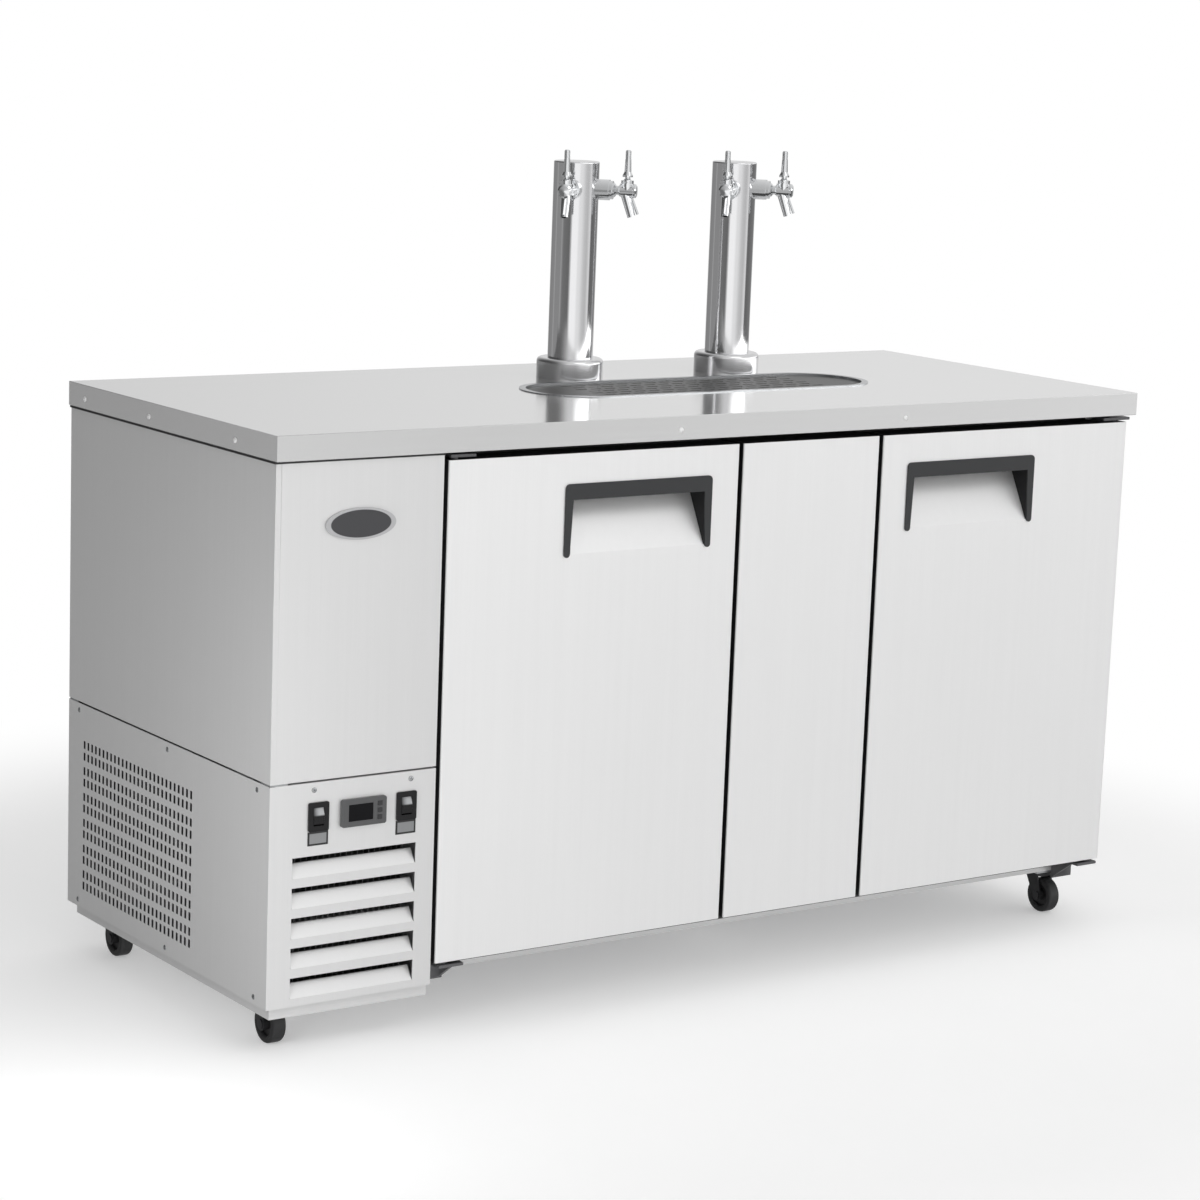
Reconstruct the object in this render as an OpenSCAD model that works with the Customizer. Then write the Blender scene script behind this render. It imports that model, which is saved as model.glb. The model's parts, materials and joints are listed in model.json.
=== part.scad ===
// Two-door keg cooler with two double draft towers on a stainless worktop.
// The origin is on the floor under the middle of the worktop: +X right, +Y back, +Z up, millimetres.

/* [Cabinet] */
// Overall width of the worktop
cab_w = 1758; // [1650:1:2000]
// Overall depth of the worktop
cab_d = 714; // [680:1:800]
// Height of the worktop above the floor
top_h = 980; // [960:1:1080]
// Height of the worktop's folded edge
edge_h = 40; // [36:1:60]
// Thickness of the folded sheet metal
sheet = 1.5; // [1:0.1:2]
// Thickness of the insulated walls
wall = 50; // [42:1:60]
// Thickness of the insulated floor
floor_t = 63; // [55:1:80]
// Depth of the insulated deck below the worktop's edge
deck_t = 50; // [40:1:60]
// How far the worktop stands out past the side and back panels
side_lap = 3; // [2:0.5:6]
// How far the worktop stands out past the doors and front panels
front_lap = 8; // [7.5:0.5:12]
// Width of the inward lip under the worktop's edge
lip_w = 20; // [12:1:24]

/* [Machine compartment] */
// Width of the machine compartment at the left end
machine_w = 300; // [295:1:340]
// Height of the seam between the upper and lower panels
seam_z = 440; // [434:1:460]
// Width of the seam
seam_gap = 3; // [2:0.5:4]
// Width of the side panel's return at the corners
corner_ret = 10; // [6:1:14]
// Width of each leg of the corner posts
post_leg = 30; // [24:1:36]
// Thickness of the corner posts
post_t = 2; // [1.5:0.5:3]
// Depth of the folded flanges behind the front panels
fold_d = 8; // [5:1:8]
// Height of the skirt's lower edge above the floor
skirt_z = 64; // [48:1:68]
// How far the skirt stands back under the panels
skirt_in = 12; // [8:1:14]
// Number of pairs of slot rows in the vented panel
vent_pairs = 6; // [3:1:6]
// Number of slots in each row
vent_cols = 28; // [12:1:30]
// Width of one vent slot
slot_w = 6.5; // [4:0.5:8]
// Height of one vent slot
slot_h = 13.5; // [8:0.5:15]
// Spacing of the slots along a row
slot_pitch = 14.3; // [12:0.1:16]
// Spacing of the two rows of a pair
row_pitch = 20; // [18:0.5:22]
// Spacing of the pairs of rows
pair_pitch = 45; // [43:0.5:48]
// Distance of the last slot from the back plane
vent_back = 58; // [50:1:90]
// Height of the lowest row of slots
vent_low = 118; // [105:1:130]

/* [Louvres and controls] */
// Number of louvres
louvre_n = 5; // [3:1:5]
// Width of each louvre
louvre_w = 222; // [180:1:232]
// Distance of the louvres to the right of the compartment's middle
louvre_right = 4; // [0:1:6]
// Height of each louvre opening
louvre_h = 33; // [30:1:40]
// Spacing of the louvres
louvre_pitch = 48; // [44:1:48]
// Height of the top louvre's upper edge
louvre_top = 322; // [318:1:326]
// How far the louvre blades lean inward
louvre_in = 14; // [10:1:22]
// Open slit above each louvre blade
louvre_slit = 12; // [5:0.5:14]
// Height of the middle of the controls
control_z = 384; // [378:1:390]
// Distance of the controller from the middle of the compartment, to the right
control_x = 16; // [0:1:18]
// Width of the controller's bezel
control_w = 80; // [76:1:84]
// Height of the controller's bezel
control_h = 44; // [40:1:48]
// How far the controller stands out
control_out = 6.5; // [5:0.5:7]
// Depth of the controller's housing behind the panel
control_in = 34; // [25:1:36]
// Distance between the two switches
switch_span = 158; // [150:1:166]
// Width of a switch frame
switch_w = 36; // [32:1:38]
// Height of a switch frame
switch_h = 46; // [42:1:50]
// How far a switch frame stands out
switch_out = 3; // [2:0.5:4]
// Tip of the rockers to each side of level
rocker_tip = 8; // [6:0.5:9]
// Travel of the controller keys
key_travel = 0.8; // [0.5:0.1:1]
// Width of the oval badge plate
badge_w = 124; // [90:1:150]
// Height of the oval badge plate
badge_h = 50; // [30:1:60]
// Distance of the middle of the badge plate below the worktop's edge
badge_drop = 102; // [70:1:140]

/* [Doors] */
// Width of the fixed post between the doors
post_w = 289; // [240:1:330]
// Gap round the doors
door_gap = 9; // [8:0.5:11]
// Thickness of the doors
door_t = 55; // [50:1:57]
// Height of the doors' lower edge above the base frame
door_foot = 25; // [22:1:32]
// Height of the gap between the doors and the worktop
head_gap = 13; // [12:0.5:16]
// Distance of the right door from the end of the worktop
door_end = 14; // [10:1:20]
// Radius of the doors' folded front edges
door_r = 3; // [1:0.5:5]
// Thickness of the door gaskets
gasket_t = 12; // [10:1:16]
// Width of the door gaskets
gasket_w = 14; // [10:1:18]
// Distance of the gaskets from the doors' edges
gasket_in = 20; // [19:1:24]
// Overlap of the post behind each door
post_lap = 50; // [46:1:60]
// Width of the handle frames
handle_w = 290; // [240:1:320]
// Height of the handle frames
handle_h = 119; // [100:1:140]
// Distance of the handles below the doors' upper edge
handle_drop = 49; // [40:1:70]
// Distance of the handles from the doors' free edge
handle_in = 55; // [40:1:80]
// Height of the handles' top bar
bar_h = 26; // [18:1:30]
// Width of the handles' legs at the top
leg_w = 15; // [12:1:18]
// Width of the handles' legs at their lower ends
leg_tip = 11; // [8:1:11]
// Depth of the handle pockets
pocket_d = 46; // [36:1:47]
// How far the handle frames stand out
handle_out = 2.5; // [1.5:0.5:4]
// Thickness of the handles' cheeks
cheek_t = 2; // [1.5:0.5:3]

/* [Hinges] */
// Radius of the hinge pins
pin_r = 5; // [4:0.5:6]
// Distance of the pins from the doors' hinged edge
pin_in = 18; // [16:0.5:19]
// Distance of the pins behind the door face
pin_back = 14; // [12:0.5:16]
// Length of the pins inside the doors
pin_len = 20; // [15:1:30]
// Thickness of the hinge plates
bracket_t = 5; // [4:0.5:6]
// Width of the hinge plates
bracket_w = 46; // [40:1:60]
// How far the lower hinge plates reach down below the base frame
bracket_drop = 14; // [4:1:16]

/* [Casters] */
// Diameter of the wheels
wheel_d = 64; // [58:1:66]
// Width of the wheels' tread
wheel_w = 25; // [20:1:28]
// Height of the casters from the floor to the top of the plate
caster_h = 84; // [82:1:100]
// Distance of the wheel's axle from the swivel axis
caster_trail = 18; // [14:1:22]
// Distance of the swivel axes from the ends of the worktop
caster_in_x = 61; // [61:1:80]
// Distance of the front swivel axes behind the base frame's front edge
caster_front = 40; // [39:1:60]
// Distance of the rear swivel axes from the base frame's back edge
caster_rear = 52; // [45:1:90]
// Side of the square caster plates
plate_w = 76; // [66:1:78]
// Thickness of the caster plates
plate_t = 4; // [3:0.5:5]
// Radius of the wheel axles
axle_r = 5; // [4:0.5:6]
// Radius of the king pins
king_r = 6; // [5:0.5:7]
// Height of the base frame's bars
base_t = 8; // [6:1:12]
// Width of the base frame's bars
rail_w = 90; // [84:1:110]

/* [Drip tray] */
// Length of the drip tray's opening
tray_l = 690; // [600:1:760]
// Width of the drip tray's opening
tray_w = 186; // [150:1:200]
// Depth of the drip tray
tray_depth = 26; // [20:1:30]
// Width of the tray's rim on the worktop
tray_rim = 10; // [6:1:14]
// Width of the ledge that carries the grid
ledge_w = 6; // [4:1:10]
// Depth of the ledge below the worktop
ledge_drop = 5; // [4:0.5:8]
// Thickness of the drip grid
grid_t = 2; // [1.5:0.5:3]
// Distance of the tray's middle in front of the cabinet's middle
tray_fore = 14; // [10:1:40]
// Outer radius of the drain spout
drain_r = 8; // [6:0.5:10]
// Length of the drain spout below the cabinet's ceiling
drain_len = 30; // [20:1:60]

/* [Towers and faucets] */
// Distance between the towers
tower_gap = 345; // [250:1:420]
// Distance of the towers to the right of the keg room's middle
tower_right = 12.5; // [-40:0.5:40]
// Distance of the towers behind the cabinet's middle
tower_aft = 152; // [150:1:180]
// Outer radius of the columns
col_r = 40; // [36:0.5:44]
// Wall of the columns
col_wall = 2.5; // [2:0.5:4]
// Height of the columns
col_h = 380; // [320:1:460]
// Radius of the tower bases
flange_r = 59; // [52:1:60]
// Height of the tower bases
flange_h = 36; // [20:1:45]
// Height of the caps
cap_h = 5; // [3:0.5:8]
// Radius of the holes for the beer lines
line_r = 30; // [22:1:32]
// Distance of the faucets below the top of the columns
faucet_drop = 48; // [40:1:70]
// Turn of each faucet from the front
faucet_turn = 45; // [40:1:60]
// Radius of the faucet shanks
shank_r = 14.3; // [12:0.1:15]
// Radius of the shank collars
collar_r = 18; // [16.5:0.5:20]
// Distance of the shank collars' outer face from the column's axis
collar_end = 66; // [60:1:70]
// Distance of the levers from the column's axis
lever_reach = 91; // [88:1:96]
// Radius of the lever studs
stud_r = 4.76; // [4:0.01:6]
// Length of the lever studs
stud_len = 14; // [10:1:20]
// Length of the spouts
spout_len = 45; // [35:1:55]
// Slope of the spouts from upright
spout_tilt = 17; // [8:1:25]

/* [Machinery] */
// Width of the condenser
coil_w = 236; // [200:1:240]
// Height of the condenser
coil_h = 250; // [200:1:255]
// Depth of the condenser
coil_d = 60; // [40:1:70]
// Spacing of the coil fins
fin_pitch = 10; // [8:1:16]
// Radius of the coil tubes
tube_r = 5; // [4:0.5:6]
// Radius of the condenser fan
fan_r = 96; // [80:1:100]
// Radius of the evaporator fan
evap_fan_r = 70; // [60:1:76]
// Number of blades on a fan
blade_n = 5; // [3:1:7]
// Radius of the compressor shell
comp_r = 88; // [70:1:95]
// Height of the compressor shell
comp_h = 190; // [150:1:220]
// Length of the evaporator cover
evap_l = 420; // [360:1:440]
// Height of the evaporator cover
evap_h = 230; // [200:1:250]
// Depth of the evaporator cover
evap_d = 120; // [110:1:140]

/* [Fits] */
// Radial clearance of the running pins
run_fit = 0.05; // [0.02:0.01:0.1]
// Clearance between pieces that move past each other
part_fit = 0.3; // [0.2:0.05:0.5]
// Clearance round pieces that pass through a hole
hole_fit = 1; // [0.5:0.1:2]

/* [Hidden] */
$fn = 48;
eps = 0.5;

// Planes of the cabinet
front_y = -cab_d / 2 + front_lap;
back_y = cab_d / 2 - side_lap;
left_x = -cab_w / 2 + side_lap;
right_x = cab_w / 2 - side_lap;
face_y = front_y + door_t + gasket_t;
base_z = caster_h;
frame_z = base_z + base_t;
floor_z = frame_z + floor_t;
under_z = top_h - edge_h;
ceiling_z = under_z - deck_t;
part_x0 = -cab_w / 2 + machine_w;
part_x1 = part_x0 + wall;
machine_x = (left_x + part_x0) / 2;
keg_x = (part_x0 + cab_w / 2) / 2;

// Doors and post
door_w = (cab_w - machine_w - post_w - door_end - 3 * door_gap) / 2;
left_door_x = part_x0 + door_gap;
post_x = left_door_x + door_w + door_gap;
right_door_x = post_x + post_w + door_gap;
door_z0 = frame_z + door_foot;
door_z1 = under_z - head_gap;
handle_z1 = door_z1 - handle_drop;
handle_z0 = handle_z1 - handle_h;
left_handle_x = left_door_x + door_w - handle_in - handle_w;
right_handle_x = right_door_x + handle_in;
pocket_top = 8;
pocket_foot = 5;
left_pin_x = left_door_x + pin_in;
right_pin_x = right_door_x + door_w - pin_in;
pin_y = front_y + pin_back;
pin_collar_r = pin_r + 4;
bore_depth = pin_len + 4;
bracket_low = base_z - bracket_drop;

// Panels of the machine compartment
panel_x0 = left_x + corner_ret;
fold_x0 = left_x + sheet + post_leg + hole_fit;
lower_top_z = seam_z - seam_gap / 2;
upper_low_z = seam_z + seam_gap / 2;
gland_r = 9;
gland_z = seam_z + 20;
cord_r = 4.5;
vent_y = back_y - vent_back - slot_w - (vent_cols - 1) * slot_pitch;
badge_z = under_z - badge_drop;

// Controls: cut_in is how far the panel's holes lie inside the bezels
control_mid = machine_x + control_x;
cut_in = 4;
window_w = 44;
window_h = 27;
window_x = -6;
window_t = 1;
key_w = 8;
key_h = 7;
key_x = 28;
key_pitch = 11;
key_deep = 5;
well_wall = 4;
well_w = switch_w - 2 * cut_in - hole_fit - 2 * well_wall;
well_h = switch_h - 2 * cut_in - hole_fit - 2 * well_wall;
rocker_pin_r = 1.5;
rocker_pin_len = 3;
rocker_pivot = 6;

// Drip tray and towers
tray_y = -tray_fore;
ledge_z = top_h - ledge_drop;
tray_floor_z = top_h - tray_depth;
drain_x = keg_x + tray_l / 2 - tray_w / 2;
drain_wall = 2;
drain_step = 3;
drain_neck_r = drain_r + drain_wall;
strip_gap = 0.4;
line_block = line_r + 14;
tower_xs = [keg_x + tower_right - tower_gap / 2, keg_x + tower_right + tower_gap / 2];
col_top_z = top_h + col_h;
faucet_z = col_top_z - faucet_drop;
faucet_angles = [-90 - faucet_turn, -90 + faucet_turn];

// Faucet and lever, measured from the faucet's axis
pivot_z = 15;
ball_r = 7.7;
bonnet_r = 11;
bonnet_z = pivot_z + 3;
ferrule_r = 9;
ferrule_z = 9;
stem_r = 6;
stem_len = 40;
shank_in = 22;
line_bore_r = 4;
lever_pin_r = 1.6;

// Casters
wheel_r = wheel_d / 2;
race_h = 6;
race_r = 20;
crown_z1 = caster_h - plate_t - race_h - part_fit;
crown_t = 6;
crown_z0 = crown_z1 - crown_t;
fork_t = 3;
hub_half = wheel_w / 2 + 1.7;
fork_in = hub_half + part_fit;
caster_xs = [-cab_w / 2 + caster_in_x, cab_w / 2 - caster_in_x];
caster_ys = [face_y + caster_front, back_y - skirt_in - caster_rear];
caster_at = [
    [caster_xs[0], caster_ys[0]], [caster_xs[1], caster_ys[0]],
    [caster_xs[0], caster_ys[1]], [caster_xs[1], caster_ys[1]]
];

// Machinery
tray_t = 2;
machine_z = frame_z + tray_t;
coil_in = 46;
coil_y = front_y + coil_in;
shroud_y = coil_y + coil_d;
shaft_r = 4;
hub_r = 22;
fan_w = 26;
fan_gap = 4;
fan_z = machine_z + coil_h / 2;
motor_r = 30;
motor_len = 46;
motor_room = 130;
comp_y = shroud_y + motor_room + comp_r;
evap_z0 = ceiling_z - evap_h;
evap_gap = 20;
evap_y0 = back_y - wall - evap_gap - evap_l;
evap_fan_y = evap_y0 + evap_l / 2;
evap_fan_z = evap_z0 + evap_h / 2;
evap_x1 = part_x1 + evap_d;
evap_coil_d = 55;
evap_end = 20;
evap_foot = 12;

// Helpers

module block(lo, hi) {
    translate(lo) cube(hi - lo);
}

// A flat shape in X and Z, made a sheet from the plane y0 back to y0 + t
module front_sheet(y0, t) {
    translate([0, y0 + t, 0]) rotate([90, 0, 0]) linear_extrude(t) children();
}

// A flat shape in Y and Z, made a sheet from the plane x0 to x0 + t
module side_sheet(x0, t) {
    translate([x0, 0, 0]) rotate([90, 0, 90]) linear_extrude(t) children();
}

module rect(lo, hi) {
    translate(lo) square(hi - lo);
}

// A rectangle with round corners, as squares and circles
module round_rect(lo, hi, r) {
    rect([lo[0] + r, lo[1]], [hi[0] - r, hi[1]]);
    rect([lo[0], lo[1] + r], [hi[0], hi[1] - r]);
    for (x = [lo[0] + r, hi[0] - r], y = [lo[1] + r, hi[1] - r])
        translate([x, y]) circle(r);
}

// A long shape with half-round ends, len by wid overall
module stadium(len, wid) {
    square([len - wid, wid], center = true);
    for (side = [-1, 1])
        translate([side * (len - wid) / 2, 0]) circle(d = wid);
}

// The drip tray's outline grown by d all round
module tray_shape(d) {
    translate([keg_x, tray_y]) stadium(tray_l + 2 * d, tray_w + 2 * d);
}

module tray_prism(d, z0, z1) {
    translate([0, 0, z0]) linear_extrude(z1 - z0) tray_shape(d);
}

// Children at each faucet: local +X points out of the column along the shank
module at_faucet(tower, side) {
    translate([tower_xs[tower], tower_aft, faucet_z]) rotate([0, 0, faucet_angles[side]]) children();
}

module all_faucets() {
    for (tower = [0, 1], side = [0, 1])
        at_faucet(tower, side) children();
}

// A solid of revolution about local +X
module turned_x() {
    rotate([0, 90, 0]) rotate_extrude() children();
}

// Cabinet

module worktop() {
    color("gainsboro") difference() {
        block([-cab_w / 2, -cab_d / 2, under_z], [cab_w / 2, cab_d / 2, top_h]);
        block([-cab_w / 2 + sheet, -cab_d / 2 + sheet, under_z + sheet],
              [cab_w / 2 - sheet, cab_d / 2 - sheet, top_h - sheet]);
        block([-cab_w / 2 + lip_w, -cab_d / 2 + lip_w, under_z - eps],
              [cab_w / 2 - lip_w, cab_d / 2 - lip_w, under_z + sheet + eps]);
        tray_prism(hole_fit, under_z, top_h + eps);
        for (x = tower_xs)
            translate([x, tower_aft, under_z]) cylinder(r = line_r, h = edge_h + eps);
    }
}

// Insulated deck in strips with a bored block under each tower, and the core round the worktop's well
module ceiling_panel() {
    core = [cab_w / 2 - lip_w - hole_fit, cab_d / 2 - lip_w - hole_fit];
    core_z0 = under_z + strip_gap;
    core_z1 = top_h - sheet;
    well_x = tray_l / 2 + hole_fit;
    well_y0 = tray_y - tray_w / 2 - hole_fit;
    row_y0 = tower_aft - line_block;
    row_y1 = tower_aft + line_block;
    row_xs = [
        part_x0, tower_xs[0] - line_block - strip_gap,
        tower_xs[0] + line_block + strip_gap, tower_xs[1] - line_block - strip_gap,
        tower_xs[1] + line_block + strip_gap, right_x - wall
    ];
    color("whitesmoke") {
        difference() {
            block([part_x0, face_y, ceiling_z], [right_x - wall, row_y0 - strip_gap, under_z]);
            translate([drain_x, tray_y, ceiling_z - eps])
                cylinder(r = drain_neck_r + hole_fit, h = deck_t + 2 * eps);
        }
        block([part_x0, row_y1 + strip_gap, ceiling_z], [right_x - wall, back_y - wall, under_z]);
        for (i = [0 : 2 : 4])
            block([row_xs[i], row_y0, ceiling_z], [row_xs[i + 1], row_y1, under_z]);
        for (x = tower_xs)
            difference() {
                block([x - line_block, row_y0, ceiling_z], [x + line_block, row_y1, core_z1]);
                translate([x, tower_aft, ceiling_z - eps]) cylinder(r = line_r, h = deck_t + edge_h);
            }
        block([-core[0], -core[1], core_z0], [core[0], well_y0, core_z1]);
        block([-core[0], row_y1 + strip_gap, core_z0], [core[0], core[1], core_z1]);
        block([-core[0], well_y0 + strip_gap, core_z0], [keg_x - well_x, row_y1, core_z1]);
        block([keg_x + well_x, well_y0 + strip_gap, core_z0], [core[0], row_y1, core_z1]);
    }
}

module floor_panel() {
    color("whitesmoke") block([part_x0, face_y, frame_z], [right_x - wall, back_y - wall, floor_z]);
}

module back_panel() {
    color("silver") block([part_x0, back_y - wall, frame_z], [right_x - wall, back_y, under_z]);
}

module right_side_panel() {
    color("gainsboro") block([right_x - wall, face_y, frame_z], [right_x, back_y, under_z]);
}

module partition_wall() {
    color("whitesmoke") block([part_x0, face_y, floor_z], [part_x1, back_y - wall, ceiling_z]);
}

// Fixed panel between the doors, with the flange that the gaskets close on
module centre_post() {
    color("gainsboro") {
        translate([0, 0, door_z0]) linear_extrude(door_z1 - door_z0) slab_shape(post_x, post_w, face_y);
        block([post_x - post_lap, face_y, floor_z], [post_x + post_w + post_lap, face_y + wall, ceiling_z]);
        block([post_x, face_y - eps, floor_z], [post_x + post_w, face_y + eps, ceiling_z]);
    }
}

// Plan of a door or of the post: round front edges, flat back at y1
module slab_shape(x0, w, y1) {
    rect([x0 + door_r, front_y], [x0 + w - door_r, y1]);
    rect([x0, front_y + door_r], [x0 + w, y1]);
    for (x = [x0 + door_r, x0 + w - door_r])
        translate([x, front_y + door_r]) circle(door_r);
}

// Flat bars under the cabinet, with the skirt round the machine compartment
module base_frame() {
    x0 = left_x + skirt_in;
    y0 = front_y + skirt_in;
    y1 = back_y - skirt_in;
    color("darkgray") {
        difference() {
            union() {
                block([x0, y0, base_z], [part_x0, y1, frame_z]);
                block([x0, face_y, base_z], [right_x - skirt_in, y1, frame_z]);
            }
            block([x0 + rail_w + caster_in_x / 2, face_y + rail_w, base_z - eps],
                  [part_x0 - rail_w / 2, y1 - rail_w, frame_z + eps]);
            block([part_x0 + rail_w / 2, face_y + rail_w, base_z - eps],
                  [keg_x - rail_w / 2, y1 - rail_w, frame_z + eps]);
            block([keg_x + rail_w / 2, face_y + rail_w, base_z - eps],
                  [right_x - skirt_in - rail_w - caster_in_x / 2, y1 - rail_w, frame_z + eps]);
        }
        difference() {
            block([x0, y0, skirt_z], [part_x0, y1, frame_z]);
            block([x0 + post_t, y0 + post_t, skirt_z - eps], [part_x0 - post_t, y1 - post_t, base_z + eps]);
            block([x0 + post_t, y0 + post_t, base_z], [part_x0 - post_t, y1 - post_t, frame_z + eps]);
        }
    }
}

// Angle posts at the two free corners and beside the partition at the back
module corner_posts() {
    color("darkgray") translate([0, 0, frame_z]) linear_extrude(under_z - frame_z) {
        for (y = [front_y + sheet, back_y - sheet]) {
            side = sign(y);
            rect([left_x + sheet, min(y, y - side * post_leg)],
                 [left_x + sheet + post_t, max(y, y - side * post_leg)]);
            rect([left_x + sheet, min(y, y - side * post_t)],
                 [left_x + sheet + post_leg, max(y, y - side * post_t)]);
        }
        rect([part_x0 - post_leg, back_y - sheet - post_t], [part_x0, back_y - sheet]);
        rect([part_x0 - post_t, back_y - sheet - post_leg], [part_x0, back_y - sheet]);
    }
}

// Sheet of the left end with a return round both corners
module side_panel(z0, z1) {
    side_sheet(left_x, sheet) difference() {
        rect([front_y, z0], [back_y, z1]);
        children();
    }
    for (y = [front_y, back_y - sheet])
        block([left_x, y, z0], [panel_x0, y + sheet, z1]);
}

module upper_side_panel() {
    color("silver") side_panel(upper_low_z, under_z);
}

module vent_side_panel() {
    color("silver") side_panel(base_z, lower_top_z)
        for (pair = [0 : vent_pairs - 1], row = [0, 1], col = [0 : vent_cols - 1])
            translate([vent_y + col * slot_pitch, vent_low + pair * pair_pitch + row * row_pitch])
                square([slot_w, slot_h]);
}

// Front sheet of the machine compartment, folded back at the top, bottom and right
module front_panel(z0, z1) {
    front_sheet(front_y, sheet) difference() {
        rect([panel_x0, z0], [part_x0, z1]);
        children();
    }
    for (z = [z0, z1 - sheet])
        block([fold_x0, front_y, z], [part_x0, front_y + fold_d, z + sheet]);
    block([part_x0 - sheet, front_y, max(z0, frame_z)], [part_x0, face_y + fold_d, z1]);
}

module upper_front_panel() {
    color("gainsboro") front_panel(upper_low_z, under_z);
}

module louvre_panel() {
    x0 = machine_x + louvre_right - louvre_w / 2;
    color("gainsboro") {
        front_panel(base_z, lower_top_z) {
            for (i = [0 : louvre_n - 1])
                rect([x0, louvre_top - i * louvre_pitch - louvre_h],
                     [x0 + louvre_w, louvre_top - i * louvre_pitch]);
            controls_cut();
        }
        for (i = [0 : louvre_n - 1])
            louvre(x0, louvre_top - i * louvre_pitch);
    }
}

// Holes for the controller and the two switches
module controls_cut() {
    translate([control_mid, control_z])
        square([control_w - 2 * cut_in, control_h - 2 * cut_in], center = true);
    for (side = [-1, 1])
        translate([control_mid + side * switch_span / 2, control_z])
            square([switch_w - 2 * cut_in, switch_h - 2 * cut_in], center = true);
}

// Blade that leans inward from the lower edge, cut free from the panel at its ends
module louvre(x0, z1) {
    z0 = z1 - louvre_h;
    blade_z = z1 - louvre_slit;
    side_sheet(x0 + hole_fit, louvre_w - 2 * hole_fit) polygon([
        [front_y, z0 - eps], [front_y, z0], [front_y + louvre_in, blade_z],
        [front_y + louvre_in + 2 * sheet, blade_z], [front_y + sheet, z0 - eps]
    ]);
}

// Back cover of the machine compartment with three columns of air slots
module rear_grille() {
    rows = 12;
    rear_slot_w = 64;
    rear_slot_h = 8;
    rear_pitch = 22;
    rear_z = upper_low_z + 100;
    color("silver") difference() {
        front_sheet(back_y - sheet, sheet) difference() {
            rect([panel_x0, base_z], [part_x0, under_z]);
            for (row = [0 : rows - 1], col = [-1, 0, 1])
                translate([machine_x + col * (rear_slot_w + rear_slot_h), rear_z + row * rear_pitch])
                    square([rear_slot_w, rear_slot_h], center = true);
        }
        translate([machine_x, back_y + eps, gland_z]) rotate([90, 0, 0])
            cylinder(r = gland_r, h = sheet + 2 * eps);
    }
}

// Gland for the mains lead: a flange outside, a hexagon nut inside
module cord_gland() {
    flange_t = side_lap - eps;
    nut_t = 5;
    gland_len = 22;
    color("dimgray") translate([machine_x, back_y, gland_z]) rotate([90, 0, 0]) difference() {
        union() {
            translate([0, 0, -flange_t]) cylinder(r = gland_r + 4, h = flange_t);
            translate([0, 0, -eps]) cylinder(r = gland_r - run_fit, h = gland_len);
            translate([0, 0, sheet]) cylinder(r = gland_r + 4, h = nut_t, $fn = 6);
        }
        translate([0, 0, -side_lap]) cylinder(r = cord_r, h = side_lap + gland_len);
    }
}

// Controls

module badge_plate() {
    badge_t = 3;
    color("dimgray") translate([machine_x, 0, badge_z]) front_sheet(front_y - badge_t, badge_t)
        scale([badge_w / badge_h, 1]) circle(d = badge_h, $fn = 64);
}

// Bezel with a housing behind it, a recess for the window and a pocket for each key
module controller_case() {
    housing = [control_w - 2 * cut_in - hole_fit, control_h - 2 * cut_in - hole_fit];
    color("dimgray") translate([control_mid, 0, control_z]) difference() {
        union() {
            front_sheet(front_y - control_out, control_out)
                round_rect([-control_w / 2, -control_h / 2], [control_w / 2, control_h / 2], 4);
            front_sheet(front_y - eps, control_in) square(housing, center = true);
        }
        front_sheet(front_y - control_out - eps, eps + 2 * window_t)
            translate([window_x, 0]) square([window_w, window_h], center = true);
        for (i = [-1, 0, 1])
            front_sheet(front_y - control_out - eps, key_deep + eps)
                translate([key_x, i * key_pitch])
                    square([key_w + 2 * part_fit, key_h + 2 * part_fit], center = true);
    }
}

module controller_window() {
    color("black") translate([control_mid, 0, control_z])
        front_sheet(front_y - control_out + window_t, window_t)
            translate([window_x, 0]) square([window_w, window_h], center = true);
}

// Key that stands out a little and stops just short of its pocket's floor
module controller_key(i) {
    key_out = 0.5;
    color("gray") translate([control_mid + key_x, 0, control_z + i * key_pitch])
        front_sheet(front_y - control_out - key_out, key_out + key_deep - key_travel - part_fit)
            round_rect([-key_w / 2, -key_h / 2], [key_w / 2, key_h / 2], 1.5);
}

module key_up() { controller_key(1); }
module key_set() { controller_key(0); }
module key_down() { controller_key(-1); }

// Two switch frames: a bezel on the panel and a well for the rocker behind it
module switch_frames() {
    well_d = 24;
    color("black") for (side = [-1, 1])
        translate([control_mid + side * switch_span / 2, 0, control_z]) difference() {
            union() {
                front_sheet(front_y - switch_out, switch_out)
                    round_rect([-switch_w / 2, -switch_h / 2], [switch_w / 2, switch_h / 2], 3);
                front_sheet(front_y - eps, well_d)
                    square([well_w + 2 * well_wall, well_h + 2 * well_wall], center = true);
            }
            front_sheet(front_y - switch_out - eps, switch_out + well_d - well_wall)
                square([well_w, well_h], center = true);
            translate([-well_w / 2 - rocker_pin_len, front_y + rocker_pivot, 0]) rotate([0, 90, 0])
                cylinder(r = rocker_pin_r + run_fit, h = well_w + 2 * rocker_pin_len);
        }
}

// Rocker with two flat faces that meet in a low ridge, with its upper half pressed in at rest
module rocker(side) {
    rw = well_w - 2 * part_fit;
    face = rocker_pivot + switch_out - 1;
    ridge = 3;
    half = (well_h / 2 - part_fit - face * sin(rocker_tip)) / cos(rocker_tip);
    foot = 4;
    color("black") translate([control_mid + side * switch_span / 2, front_y + rocker_pivot, control_z])
        rotate([-rocker_tip, 0, 0]) {
            side_sheet(-rw / 2, rw) polygon([
                [-face, half], [-face - ridge, 0], [-face, -half],
                [0, -half + 1], [foot, -foot], [foot, foot], [0, half - 1]
            ]);
            translate([-well_w / 2 - rocker_pin_len + part_fit, 0, 0]) rotate([0, 90, 0])
                cylinder(r = rocker_pin_r, h = well_w + 2 * rocker_pin_len - 2 * part_fit);
        }
}

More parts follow.
